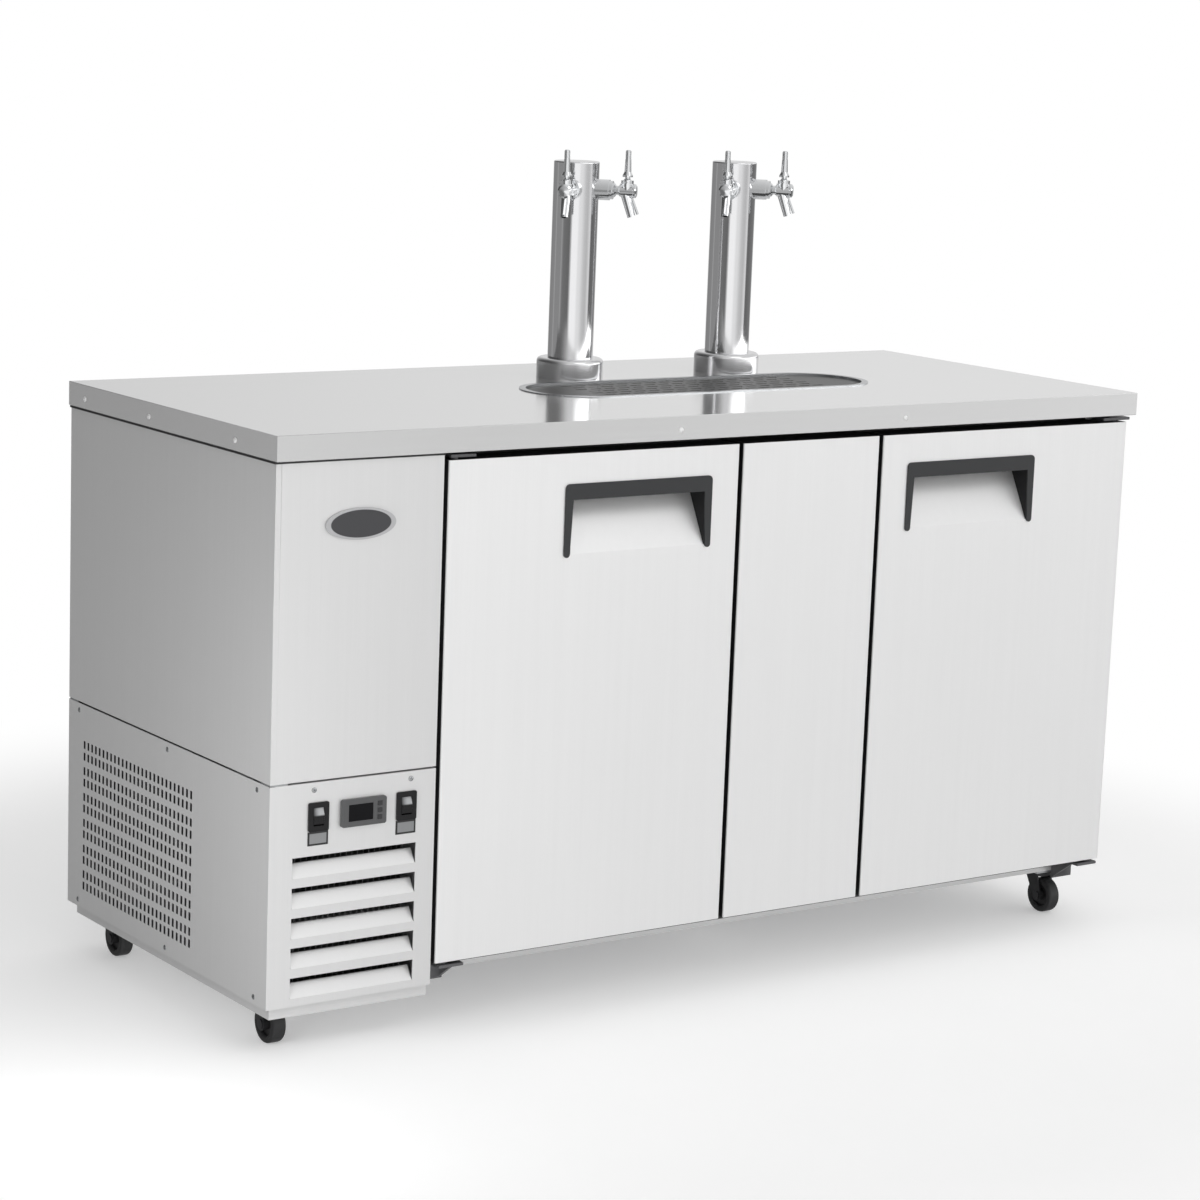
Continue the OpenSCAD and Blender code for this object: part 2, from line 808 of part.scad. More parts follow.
module rocker_1() { rocker(-1); }
module rocker_2() { rocker(1); }

// Machinery

module machine_tray() {
    color("silver") block([left_x + skirt_in + post_leg, front_y + skirt_in + post_leg, frame_z],
                          [part_x0 - post_leg, back_y - skirt_in - post_leg, machine_z]);
}

module compressor() {
    foot = comp_r * 0.75;
    shell_z = 14;
    color("black") translate([machine_x, comp_y, machine_z]) {
        translate([0, 0, shell_z]) cylinder(r = comp_r, h = comp_h - shell_z - comp_r * 0.45);
        translate([0, 0, comp_h - comp_r * 0.45]) rotate_extrude() intersection() {
            translate([comp_r * 0.55, 0]) circle(comp_r * 0.45);
            square([comp_r, comp_r]);
        }
        translate([0, 0, comp_h - comp_r * 0.45]) cylinder(r = comp_r * 0.55, h = comp_r * 0.45);
        translate([0, 0, 6]) linear_extrude(shell_z - 6 + eps) square(2 * foot, center = true);
        for (x = [-foot + 14, foot - 14], y = [-foot + 14, foot - 14])
            translate([x, y, 0]) cylinder(r = 10, h = 6 + eps);
        translate([comp_r - 10, 0, comp_h * 0.4]) rotate([0, 90, 0]) cylinder(r = tube_r, h = 22);
        translate([-comp_r - 12, 0, comp_h * 0.55]) rotate([0, 90, 0]) cylinder(r = tube_r, h = 22);
    }
}

// Row of fins on rows of tubes, in a box of w along X, d along Y and h up
module finned_coil(w, d, h, rows, cols) {
    fin_t = 1;
    plate = 2;
    n = floor((w - 2 * plate) / fin_pitch);
    for (i = [1 : n - 1])
        translate([i * w / n, 0, 6]) cube([fin_t, d, h - 6]);
    for (x = [0, w - plate])
        translate([x, 0, 0]) cube([plate, d, h]);
    for (row = [0 : rows - 1], col = [0 : cols - 1])
        translate([0, (col + 0.5) * d / cols, 6 + (row + 0.5) * (h - 6) / rows])
            rotate([0, 90, 0]) cylinder(r = tube_r, h = w);
}

module condenser_coil() {
    color("peru") translate([machine_x - coil_w / 2, coil_y, machine_z])
        finned_coil(coil_w, coil_d, coil_h, 6, 2);
}

// Plate with a ring round the fan, and a motor on three struts behind it
module fan_shroud() {
    ring_w = 3;
    ring_in = fan_r + fan_gap;
    motor_y = shroud_y + fan_gap + fan_w + fan_gap;
    color("dimgray") {
        front_sheet(shroud_y, sheet) difference() {
            rect([machine_x - coil_w / 2, machine_z], [machine_x + coil_w / 2, machine_z + coil_h]);
            translate([machine_x, fan_z]) circle(ring_in);
        }
        front_sheet(shroud_y, motor_y - shroud_y + 8) translate([machine_x, fan_z]) difference() {
            circle(ring_in + ring_w);
            circle(ring_in);
        }
        front_sheet(motor_y, motor_len) translate([machine_x, fan_z]) circle(motor_r);
        for (a = [90, 210, 330])
            translate([machine_x, motor_y + 2, fan_z]) rotate([0, -a, 0])
                translate([motor_r - 2, 0, -5]) cube([ring_in - motor_r + 3, 4, 10]);
        front_sheet(shroud_y + fan_gap, fan_w + fan_gap + eps) translate([machine_x, fan_z]) circle(shaft_r);
    }
}

// Hub on a shaft along local +Z from z = 0, with pitched blades
module fan(r, w) {
    pitch = 28;
    blade_w = w / sin(pitch) * 0.9;
    difference() {
        union() {
            cylinder(r = hub_r, h = w);
            intersection() {
                cylinder(r = r, h = w);
                for (i = [0 : blade_n - 1])
                    rotate([0, 0, i * 360 / blade_n]) translate([0, 0, w / 2]) rotate([pitch, 0, 0])
                        translate([hub_r - 3, -blade_w / 2, -1]) cube([r, blade_w, 2]);
            }
        }
        translate([0, 0, -eps]) cylinder(r = shaft_r + run_fit, h = w + 2 * eps);
    }
}

module condenser_fan() {
    color("gray") translate([machine_x, shroud_y + fan_gap + fan_w, fan_z]) rotate([90, 0, 0])
        fan(fan_r, fan_w);
}

// Finned coil on the partition wall, inside the cabinet
module evaporator_coil() {
    color("silver") translate([part_x1 + evap_coil_d, evap_y0 + evap_end, evap_z0 + evap_foot])
        rotate([0, 0, 90])
            finned_coil(evap_l - 2 * evap_end, evap_coil_d, evap_h - 2 * evap_foot, 5, 2);
}

// Cover over the coil with a fan opening, end slots and a motor on three struts
module evaporator_cover() {
    t = 2;
    motor_x = part_x1 + evap_coil_d + 4;
    y1 = evap_y0 + evap_l;
    cut = [90, 8];
    cut_end = 70;
    cut_foot = 40;
    cut_pitch = 20;
    color("lightgray") {
        difference() {
            block([part_x1, evap_y0, evap_z0], [evap_x1, y1, ceiling_z]);
            block([part_x1 - eps, evap_y0 + t, evap_z0 + t], [evap_x1 - t, y1 - t, ceiling_z - t]);
            side_sheet(evap_x1 - t - eps, t + 2 * eps) {
                translate([evap_fan_y, evap_fan_z]) circle(evap_fan_r + fan_gap);
                for (y = [evap_y0 + cut_end, y1 - cut_end], row = [0 : 7])
                    translate([y, evap_z0 + cut_foot + row * cut_pitch]) square(cut, center = true);
            }
        }
        side_sheet(motor_x, evap_x1 - t - motor_x - fan_w - fan_gap)
            translate([evap_fan_y, evap_fan_z]) circle(motor_r * 0.8);
        side_sheet(motor_x, evap_x1 - t - motor_x - 1) translate([evap_fan_y, evap_fan_z]) circle(shaft_r);
        block([motor_x, evap_y0 + t - eps, evap_fan_z - 8],
              [motor_x + 3, y1 - t + eps, evap_fan_z + 8]);
    }
}

module evaporator_fan() {
    color("gray") translate([evap_x1 - 3 - fan_w, evap_fan_y, evap_fan_z]) rotate([0, 90, 0])
        fan(evap_fan_r, fan_w);
}

// Drip tray

module drip_tray() {
    color("silver") difference() {
        union() {
            tray_prism(tray_rim, top_h, top_h + sheet);
            tray_prism(0, tray_floor_z, top_h + eps);
            translate([drain_x, tray_y, ceiling_z - drain_len])
                cylinder(r = drain_r, h = tray_floor_z - ceiling_z + drain_len + eps);
            translate([drain_x, tray_y, ceiling_z - drain_step])
                cylinder(r = drain_neck_r, h = tray_floor_z - ceiling_z + drain_step + eps);
        }
        tray_prism(-sheet, ledge_z, top_h + sheet + eps);
        tray_prism(-ledge_w, tray_floor_z + sheet, ledge_z + eps);
        translate([drain_x, tray_y, ceiling_z - drain_len - eps])
            cylinder(r = drain_r - drain_wall, h = drain_len + deck_t + edge_h);
    }
}

// Perforated grid on the tray's ledge
module drip_grid() {
    grid_l = tray_l - 2 * sheet - 2 * part_fit - tray_w;
    hole_l = 22;
    hole_w = 6;
    rows = 7;
    cols = floor(grid_l / (hole_l + 8));
    color("silver") translate([0, 0, ledge_z + part_fit]) linear_extrude(grid_t) difference() {
        tray_shape(-sheet - part_fit);
        for (row = [0 : rows - 1], col = [0 : cols - 1])
            translate([keg_x + (col - (cols - 1) / 2) * (hole_l + 8) + (row % 2 - 0.5) * hole_l / 2,
                       tray_y + (row - (rows - 1) / 2) * 4 * hole_w])
                square([hole_l, hole_w], center = true);
    }
}

// Towers

module tower_bases() {
    edge = 8;
    color("silver") for (x = tower_xs)
        translate([x, tower_aft, top_h]) difference() {
            rotate_extrude() {
                square([flange_r, flange_h - edge]);
                square([flange_r - edge, flange_h]);
                translate([flange_r - edge, flange_h - edge]) circle(edge);
            }
            translate([0, 0, -eps]) cylinder(r = col_r + run_fit, h = flange_h + 2 * eps);
        }
}

module tower_columns() {
    color("silver") for (tower = [0, 1])
        difference() {
            translate([tower_xs[tower], tower_aft, top_h]) cylinder(r = col_r, h = col_h - cap_h);
            translate([tower_xs[tower], tower_aft, top_h - eps]) cylinder(r = col_r - col_wall, h = col_h);
            for (side = [0, 1])
                at_faucet(tower, side) rotate([0, 90, 0]) cylinder(r = shank_r + run_fit, h = col_r + 10);
        }
}

// Flat caps with a plug that fits inside the columns
module tower_caps() {
    edge = cap_h / 2;
    plug_h = 10;
    color("silver") for (x = tower_xs)
        translate([x, tower_aft, col_top_z - cap_h]) {
            rotate_extrude() {
                square([col_r, cap_h - edge]);
                square([col_r - edge, cap_h]);
                translate([col_r - edge, cap_h - edge]) circle(edge);
            }
            translate([0, 0, -plug_h]) cylinder(r = col_r - col_wall - run_fit, h = plug_h + eps);
        }
}

// Threaded shank through the column wall with its coupling collar outside
module faucet_shanks() {
    step = 6;
    color("silver") all_faucets()
        turned_x() rect([line_bore_r, col_r - shank_in], [shank_r, collar_end]);
    color("silver") all_faucets() difference() {
        turned_x() {
            rect([shank_r + run_fit, col_r - step], [collar_r, collar_end - step]);
            rect([shank_r + run_fit, col_r - step], [collar_r - 2, collar_end]);
        }
        translate([0, 0, -collar_r * 2]) cylinder(r = col_r + run_fit, h = collar_r * 4);
    }
}

// Faucet: barrel, bonnet with the lever's seat, spout with its vent tube
module faucet_bodies() {
    barrel_r = 9;
    seat_z = pivot_z - ball_r - part_fit;
    color("silver") all_faucets() difference() {
        union() {
            turned_x() polygon([
                [0, collar_end], [12, collar_end], [12, collar_end + 3], [barrel_r - 1, collar_end + 6],
                [barrel_r - 1, collar_end + 10], [barrel_r + 2, collar_end + 13],
                [barrel_r + 2, lever_reach + 11], [barrel_r + 3, lever_reach + 12],
                [barrel_r + 3, lever_reach + 15], [barrel_r, lever_reach + 17], [0, lever_reach + 18]
            ]);
            translate([lever_reach, 0, 0]) {
                cylinder(r = bonnet_r, h = bonnet_z);
                translate([0, 0, bonnet_z - 11]) cylinder(r = bonnet_r + 2, h = 5);
            }
            translate([lever_reach - 4, 0, -2]) rotate([0, 180 - spout_tilt, 0])
                cylinder(r1 = barrel_r, r2 = barrel_r - 2, h = spout_len);
            translate([lever_reach + 6, 0, -6]) rotate([0, 180 - spout_tilt - 5, 0])
                cylinder(r = 2.5, h = spout_len - 8);
        }
        translate([lever_reach, 0, seat_z]) cylinder(r = ball_r + part_fit, h = bonnet_z);
        translate([lever_reach, 0, pivot_z]) rotate([90, 0, 0])
            cylinder(r = lever_pin_r + run_fit, h = 3 * bonnet_r, center = true);
        translate([lever_reach - 4, 0, -2]) rotate([0, 180 - spout_tilt, 0])
            translate([0, 0, 18]) cylinder(r = 4.5, h = spout_len);
    }
}

// Lever: ball on a cross pin in the bonnet, ferrule, tapered stem and the stud for a tap handle
module lever(tower, side) {
    color("silver") at_faucet(tower, side) translate([lever_reach, 0, pivot_z]) {
        sphere(r = ball_r);
        rotate([90, 0, 0]) cylinder(r = lever_pin_r, h = 2 * bonnet_r, center = true);
        cylinder(r = 4.5, h = ferrule_z + eps);
        translate([0, 0, ferrule_z]) cylinder(r = ferrule_r, h = 3);
        translate([0, 0, ferrule_z + 3]) cylinder(r1 = ferrule_r, r2 = stem_r, h = 6);
        translate([0, 0, ferrule_z + 9])
            cylinder(r1 = stem_r, r2 = stud_r + 0.4, h = stem_len - ferrule_z - 9);
        translate([0, 0, stem_len - eps]) cylinder(r = stud_r, h = stud_len + eps);
        translate([0, 0, stem_len + stud_len]) cylinder(r1 = stud_r, r2 = stud_r - 1.5, h = 1.5);
    }
}

module lever_1() { lever(0, 0); }
module lever_2() { lever(0, 1); }
module lever_3() { lever(1, 0); }
module lever_4() { lever(1, 1); }

// Casters

// Plates under the base frame, each with a ball race and a king pin with a head
module caster_plates() {
    head_h = 1.6;
    color("silver") for (at = caster_at)
        translate([at[0], at[1], 0]) {
            translate([-plate_w / 2, -plate_w / 2, caster_h - plate_t]) cube([plate_w, plate_w, plate_t]);
            translate([0, 0, caster_h - plate_t - race_h]) cylinder(r = race_r, h = race_h + eps);
            translate([0, 0, crown_z0 - part_fit - eps])
                cylinder(r = king_r, h = caster_h - plate_t - crown_z0 + part_fit);
            translate([0, 0, crown_z0 - part_fit - head_h]) cylinder(r = king_r + 2, h = head_h);
        }
}

// Fork: crown on the king pin, two legs with round lower ends, axle with heads
module caster_fork(at) {
    boss_r = axle_r + 6;
    crown_r = 24;
    color("dimgray") translate([at[0], at[1], 0]) {
        difference() {
            union() {
                translate([0, 0, crown_z0]) cylinder(r = crown_r, h = crown_t);
                translate([-fork_in - fork_t, -caster_trail, crown_z0])
                    cube([2 * (fork_in + fork_t), caster_trail, crown_t]);
            }
            translate([0, 0, crown_z0 - eps]) cylinder(r = king_r + run_fit, h = crown_t + 2 * eps);
        }
        for (side = [-1, 1])
            side_sheet(side > 0 ? fork_in : -fork_in - fork_t, fork_t) {
                polygon([
                    [-crown_r + 8, crown_z1], [crown_r - 8, crown_z1],
                    [-caster_trail + boss_r, wheel_r], [-caster_trail - boss_r, wheel_r]
                ]);
                translate([-caster_trail, wheel_r]) circle(boss_r);
            }
        translate([-fork_in - fork_t - 2, -caster_trail, wheel_r]) rotate([0, 90, 0])
            cylinder(r = axle_r, h = 2 * (fork_in + fork_t + 2));
        for (side = [-1, 1])
            translate([side * (fork_in + fork_t + 1) - 1, -caster_trail, wheel_r]) rotate([0, 90, 0])
                cylinder(r = axle_r + 3, h = 2);
    }
}

module caster_fork_1() { caster_fork(caster_at[0]); }
module caster_fork_2() { caster_fork(caster_at[1]); }
module caster_fork_3() { caster_fork(caster_at[2]); }
module caster_fork_4() { caster_fork(caster_at[3]); }

// Wheel with a crowned tread, a dished web and a hub
module caster_wheel(at) {
    tread_r = 5;
    web = 5;
    color("black") translate([at[0], at[1] - caster_trail, wheel_r]) turned_x() difference() {
        union() {
            round_rect([wheel_r - 12, -wheel_w / 2], [wheel_r, wheel_w / 2], tread_r);
            rect([0, -web], [wheel_r - 10, web]);
            rect([0, -hub_half], [axle_r + 5, hub_half]);
        }
        rect([-1, -wheel_w], [axle_r + run_fit, wheel_w]);
    }
}

module caster_wheel_1() { caster_wheel(caster_at[0]); }
module caster_wheel_2() { caster_wheel(caster_at[1]); }
module caster_wheel_3() { caster_wheel(caster_at[2]); }
module caster_wheel_4() { caster_wheel(caster_at[3]); }

// Doors

module door(x0, handle_x, pin_x) {
    color("gainsboro") difference() {
        translate([0, 0, door_z0]) linear_extrude(door_z1 - door_z0)
            slab_shape(x0, door_w, front_y + door_t);
        side_sheet(handle_x + leg_tip, handle_w - 2 * leg_tip) pocket_shape();
        for (z = [door_z0 - eps, door_z1 - bore_depth])
            translate([pin_x, pin_y, z]) cylinder(r = pin_r + run_fit, h = bore_depth + eps);
    }
}

// Section of the handle pocket: flush at the foot, deepest under the top bar
module pocket_shape() {
    polygon([
        [front_y - eps, handle_z0 + pocket_foot], [front_y, handle_z0 + pocket_foot],
        [front_y + pocket_d, handle_z1 - bar_h], [front_y + pocket_d, handle_z1 - pocket_top],
        [front_y - eps, handle_z1 - pocket_top]
    ]);
}

// Moulded frame round three sides of the pocket, with tapered legs and a cheek on each end wall
module handle(x0) {
    corner = 8;
    x1 = x0 + handle_w;
    bar_z = handle_z1 - bar_h;
    lip_t = 3;
    tip_z = handle_z0 + leg_tip / 2;
    color("dimgray") {
        front_sheet(front_y - handle_out, handle_out) {
            difference() {
                round_rect([x0, bar_z - corner], [x1, handle_z1], corner);
                rect([x0 - eps, bar_z - corner - eps], [x1 + eps, bar_z]);
            }
            for (side = [1, -1]) {
                x = side > 0 ? x0 : x1;
                polygon([
                    [x, tip_z], [x + side * leg_tip, tip_z],
                    [x + side * leg_w, bar_z + eps], [x, bar_z + eps]
                ]);
                translate([x + side * leg_tip / 2, tip_z]) circle(d = leg_tip);
            }
        }
        front_sheet(front_y - eps, 4) rect([x0 + leg_w, bar_z], [x1 - leg_w, bar_z + lip_t]);
        for (x = [x0 + leg_tip, x1 - leg_tip - cheek_t])
            side_sheet(x, cheek_t) polygon([
                [front_y - eps, handle_z0 + pocket_foot], [front_y, handle_z0 + pocket_foot],
                [front_y + pocket_d, bar_z], [front_y - eps, bar_z + lip_t]
            ]);
    }
}

// Gasket ring on the door's back with a narrower sealing nose
module gasket(x0) {
    y0 = front_y + door_t;
    nose = gasket_w / 4;
    color("dimgray") {
        gasket_ring(x0, y0, face_y - part_fit - 4, 0);
        gasket_ring(x0, face_y - part_fit - 4, face_y - part_fit, nose);
    }
}

module gasket_ring(x0, y0, y1, cut) {
    a = gasket_in + cut;
    b = gasket_in + gasket_w - cut;
    front_sheet(y0, y1 - y0) difference() {
        rect([x0 + a, door_z0 + a], [x0 + door_w - a, door_z1 - a]);
        rect([x0 + b, door_z0 + b], [x0 + door_w - b, door_z1 - b]);
    }
}

module left_door() { door(left_door_x, left_handle_x, left_pin_x); }
module left_handle() { handle(left_handle_x); }
module left_gasket() { gasket(left_door_x); }
module right_door() { door(right_door_x, right_handle_x, right_pin_x); }
module right_handle() { handle(right_handle_x); }
module right_gasket() { gasket(right_door_x); }

// Hinge plates above and below each door, with their pins
module hinge_brackets() {
    collar_h = 4;
    head_z = 3;
    rib_t = 6;
    low_z = door_z0 - part_fit - collar_h - bracket_t;
    high_z = door_z1 + head_z;
    color("dimgray") for (i = [0, 1]) {
        x = [left_pin_x, right_pin_x][i];
        x0 = [x - pin_collar_r - head_z, x + pin_collar_r + head_z - bracket_w][i];
        top_x1 = [x0 + bracket_w, right_x][i];
        block([x0, front_y - 2, low_z], [x0 + bracket_w, face_y, low_z + bracket_t]);
        block([x0, face_y - bracket_t, bracket_low], [x0 + bracket_w, face_y, low_z + eps]);
        side_sheet([x0 + bracket_w - rib_t, x0][i], rib_t)
            polygon([[pin_y, low_z + eps], [face_y - eps, low_z + eps], [face_y - eps, bracket_low]]);
        translate([x, pin_y, low_z]) cylinder(r = pin_collar_r, h = door_z0 - part_fit - low_z);
        translate([x, pin_y, low_z]) cylinder(r = pin_r, h = door_z0 + pin_len - low_z);
        block([x0, pin_y - pin_collar_r, high_z], [top_x1, face_y, high_z + bracket_t]);
        block([x0, face_y - 2 * bracket_t, high_z], [top_x1, face_y, under_z]);
        translate([x, pin_y, door_z1 - pin_len]) cylinder(r = pin_r, h = pin_len + head_z + bracket_t);
    }
}

// Round screw heads on the panels of the machine compartment
module panel_screws() {
    head_r = 4.5;
    head_h = 1.6;
    inset = 12;
    side_in = 40;
    side_ys = [front_y + side_in, (front_y + back_y) / 2 - inset, back_y - side_in];
    color("gray") {
        for (y = side_ys, z = [base_z + inset, lower_top_z - inset])
            translate([left_x, y, z]) rotate([0, -90, 0]) cylinder(r1 = head_r, r2 = head_r - 1, h = head_h);
        for (side = [-1, 1])
            translate([control_mid + side * switch_span * 0.55, front_y, lower_top_z - inset])
                rotate([90, 0, 0]) cylinder(r1 = head_r, r2 = head_r - 1, h = head_h);
        for (side = [-1, 1], z = [base_z + inset, seam_z, under_z - inset])
            translate([machine_x + side * machine_w * 0.42, back_y, z]) rotate([-90, 0, 0])
                cylinder(r1 = head_r, r2 = head_r - 1, h = head_h);
    }
}

worktop();
ceiling_panel();
floor_panel();
back_panel();
right_side_panel();
partition_wall();
centre_post();
base_frame();
corner_posts();
upper_side_panel();
vent_side_panel();
upper_front_panel();
louvre_panel();
rear_grille();
cord_gland();
badge_plate();
controller_case();
controller_window();
switch_frames();
machine_tray();
compressor();
condenser_coil();
fan_shroud();
evaporator_coil();
evaporator_cover();
drip_tray();
tower_bases();
tower_columns();
tower_caps();
faucet_shanks();
faucet_bodies();
caster_plates();
hinge_brackets();
panel_screws();
condenser_fan();
evaporator_fan();
drip_grid();
lever_1();
lever_2();
lever_3();
lever_4();
caster_fork_1();
caster_fork_2();
caster_fork_3();
caster_fork_4();
caster_wheel_1();
caster_wheel_2();
caster_wheel_3();
caster_wheel_4();
left_door();
left_handle();
left_gasket();
right_door();
right_handle();
right_gasket();
rocker_1();
rocker_2();
key_up();
key_down();
key_set();
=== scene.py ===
import json
import math

import bmesh
import bpy
from bpy.props import FloatProperty, FloatVectorProperty, IntProperty, PointerProperty
from mathutils import Matrix, Vector

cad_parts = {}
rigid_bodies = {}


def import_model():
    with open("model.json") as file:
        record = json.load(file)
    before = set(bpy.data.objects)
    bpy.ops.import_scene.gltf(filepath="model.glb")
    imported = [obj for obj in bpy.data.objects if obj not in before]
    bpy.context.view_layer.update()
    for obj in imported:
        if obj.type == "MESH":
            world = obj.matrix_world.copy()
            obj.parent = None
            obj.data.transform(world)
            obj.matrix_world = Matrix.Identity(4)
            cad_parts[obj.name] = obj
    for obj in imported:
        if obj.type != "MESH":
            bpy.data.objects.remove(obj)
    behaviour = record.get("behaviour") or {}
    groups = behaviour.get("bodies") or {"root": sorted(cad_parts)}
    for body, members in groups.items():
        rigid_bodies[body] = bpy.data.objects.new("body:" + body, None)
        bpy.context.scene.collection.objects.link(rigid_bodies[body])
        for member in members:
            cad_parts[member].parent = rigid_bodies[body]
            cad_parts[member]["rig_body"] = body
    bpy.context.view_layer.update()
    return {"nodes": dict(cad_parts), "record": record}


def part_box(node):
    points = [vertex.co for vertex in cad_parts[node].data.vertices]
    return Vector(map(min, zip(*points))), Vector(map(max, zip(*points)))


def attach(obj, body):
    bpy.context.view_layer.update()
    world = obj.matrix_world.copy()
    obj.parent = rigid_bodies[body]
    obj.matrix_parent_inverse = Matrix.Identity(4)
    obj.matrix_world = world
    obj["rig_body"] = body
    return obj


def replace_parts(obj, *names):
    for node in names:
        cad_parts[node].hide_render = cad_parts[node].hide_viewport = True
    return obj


bl_info = {
    "name": "Keg cooler looks",
    "version": (1, 0, 0),
    "blender": (4, 5, 0),
    "location": "View3D > Sidebar > Keg cooler",
    "description": "Finishes, small fittings and a studio for a two-door keg cooler",
    "category": "Object",
}

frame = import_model()
NODES = frame["nodes"]
# Corners of a CAD mesh closer than this are one corner, in metres
MERGE = 0.00001
# Faces that meet below FLAT become one, outer edges above CORNER are rounded, shading is smooth below SMOOTH
FLAT, CORNER, SMOOTH = math.radians(0.4), math.radians(40), math.radians(22)
# Faces larger than this, in square metres, keep the edges that aren't rounded crisp
LARGE = 0.002
# A face looks along an axis where that part of its normal is above this
FACING = 0.5
# Depth of the fronts of doors and handles, behind which their narrow faces are painted dark as shade, and of
# the painted-shade strip round the door openings, in metres
DOOR_FACE, HANDLE_FACE, GAP_SHADE_DEPTH = 0.004, 0.006, 0.003
# Height of a fastener's dome, and size of a rivet's dimple, to the head's radius
SCREW_DOME, RIVET_DOME, RIVET_DIMPLE = 0.42, 0.45, 0.1
# Light round the studio's horizon: degrees to the right of the view, and level
PANELS = [
    (-180, 1.15), (-170, 1.15), (-163, 0.50), (-157, 0.17), (-128, 0.20), (-120, 0.28),
    (-116, 0.42), (-110, 0.31), (-80, 0.31), (-75, 0.44), (-68, 0.30), (-30, 0.27),
    (-8, 0.60), (8, 0.60), (40, 0.22), (86, 0.16), (95, 0.88), (105, 0.70),
    (112, 0.60), (120, 0.64), (150, 0.95), (168, 1.15), (180, 1.15),
]
# Share of the softbox in front of the doors, by the same degrees
SOFTBOX = [(30, 0.0), (75, 1.0), (110, 1.0), (135, 0.45), (160, 0.0)]
# Upward part of a ray's direction where the softbox starts and ends, and where the horizon turns into the sky
SOFTBOX_FOOT, SOFTBOX_HEAD, HORIZON = (0.02, 0.08), (0.24, 0.14), (-0.03, 0.09)
# Sideways part of a ray's direction where the sky turns from dim to bright
SKY_TURN = (-0.9, 0.1)
# Lamps: place, target and size, in metres
KEY_LAMP = ((0.6, -3.6, 4.2), (0.2, 0.0, 0.5), (3.2, 1.6))
SIDE_LAMP = ((-1.5, -0.72, 0.45), (-0.88, -0.3, 0.5), (0.4, 0.6))
# Radius of the floor, and where its fade to white starts and ends, in metres from the middle
FLOOR_RADIUS, FADE = 40.0, (1.2, 2.0)
# Rivets in the worktop's edge, as shares of its front from the left and of its left end from the front
FRONT_RIVETS = (0.424, 0.693)
SIDE_RIVETS = (0.185, 0.59, 0.916)


# Settings


def colour_setting(name, description, default):
    """A colour property in linear light."""
    return FloatVectorProperty(
        name=name, description=description, default=default, subtype="COLOR", size=3, min=0.0, max=1.0
    )


def share_setting(name, description, default):
    """A property from 0 to 1."""
    return FloatProperty(
        name=name, description=description, default=default, min=0.0, max=1.0, subtype="FACTOR"
    )


def angle_setting(name, description, degrees):
    """An angle property, given in degrees."""
    return FloatProperty(name=name, description=description, default=math.radians(degrees), subtype="ANGLE")


def level_setting(name, description, default, **more):
    """A property from 0 up."""
    return FloatProperty(name=name, description=description, default=default, min=0.0, **more)


def length_setting(name, description, default):
    """A length property in metres."""
    return FloatProperty(name=name, description=description, default=default, min=0.0, unit="LENGTH")


class SteelSettings(bpy.types.PropertyGroup):
    """Colours and roughness of the metal pieces."""

    sheet: colour_setting("Sheet", "Colour of the brushed cabinet panels", (0.75, 0.75, 0.75))
    top: colour_setting("Worktop", "Colour of the worktop", (0.84, 0.84, 0.84))
    door: colour_setting("Doors", "Colour of the doors and the post between them", (0.91, 0.91, 0.91))
    column: colour_setting("Columns", "Colour of the polished columns", (0.74, 0.74, 0.75))
    base: colour_setting("Tower bases", "Colour of the tower bases", (0.74, 0.74, 0.75))
    chrome: colour_setting("Chrome", "Colour of the plated faucets", (0.78, 0.79, 0.80))
    grid: colour_setting("Drip grid", "Colour of the perforated drip grid", (0.10, 0.10, 0.10))
    zinc: colour_setting("Zinc", "Colour of the galvanised and plated pieces", (0.46, 0.47, 0.48))
    coil: colour_setting("Coils", "Colour of the fins of the coils", (0.30, 0.30, 0.30))
    sheet_rough: share_setting("Sheet roughness", "Roughness of the doors and panels", 0.42)
    top_rough: share_setting("Worktop roughness", "Roughness of the worktop", 0.14)
    column_rough: share_setting("Column roughness", "Roughness of the columns", 0.09)


class PlasticSettings(bpy.types.PropertyGroup):
    """Colours of the plastic, rubber and painted pieces."""

    handle: colour_setting("Handles", "Colour of the moulded door handles", (0.026, 0.027, 0.029))
    black: colour_setting("Black plastic", "Colour of the switches and the controller", (0.016, 0.016, 0.017))
    bezel: colour_setting("Bezel", "Colour of the controller's bezel", (0.085, 0.086, 0.088))
    rubber: colour_setting("Rubber", "Colour of the wheels and gaskets", (0.020, 0.020, 0.021))
    liner: colour_setting("Liner", "Colour of the lining inside the cabinet", (0.62, 0.63, 0.64))
    plate: colour_setting("Label plates", "Colour of the bare label plates", (0.24, 0.245, 0.25))
    # Colour of the painted highlight on the upper halves of the rockers
    lens: colour_setting("Rocker highlights", "Colour of the upper halves of the rockers", (0.43, 0.44, 0.45))
    window: colour_setting("Window", "Colour of the controller's window", (0.006, 0.006, 0.007))
    keys: colour_setting("Keys", "Colour of the controller's keys", (0.03, 0.03, 0.032))
    badge: colour_setting("Badge", "Colour of the bare badge", (0.09, 0.09, 0.095))
    badge_rim: colour_setting("Badge rim", "Colour of the badge's rim", (0.55, 0.55, 0.56))
    hinge: colour_setting("Hinges", "Colour of the painted hinge brackets", (0.13, 0.13, 0.135))
    fork: colour_setting("Forks", "Colour of the painted caster forks", (0.035, 0.035, 0.037))


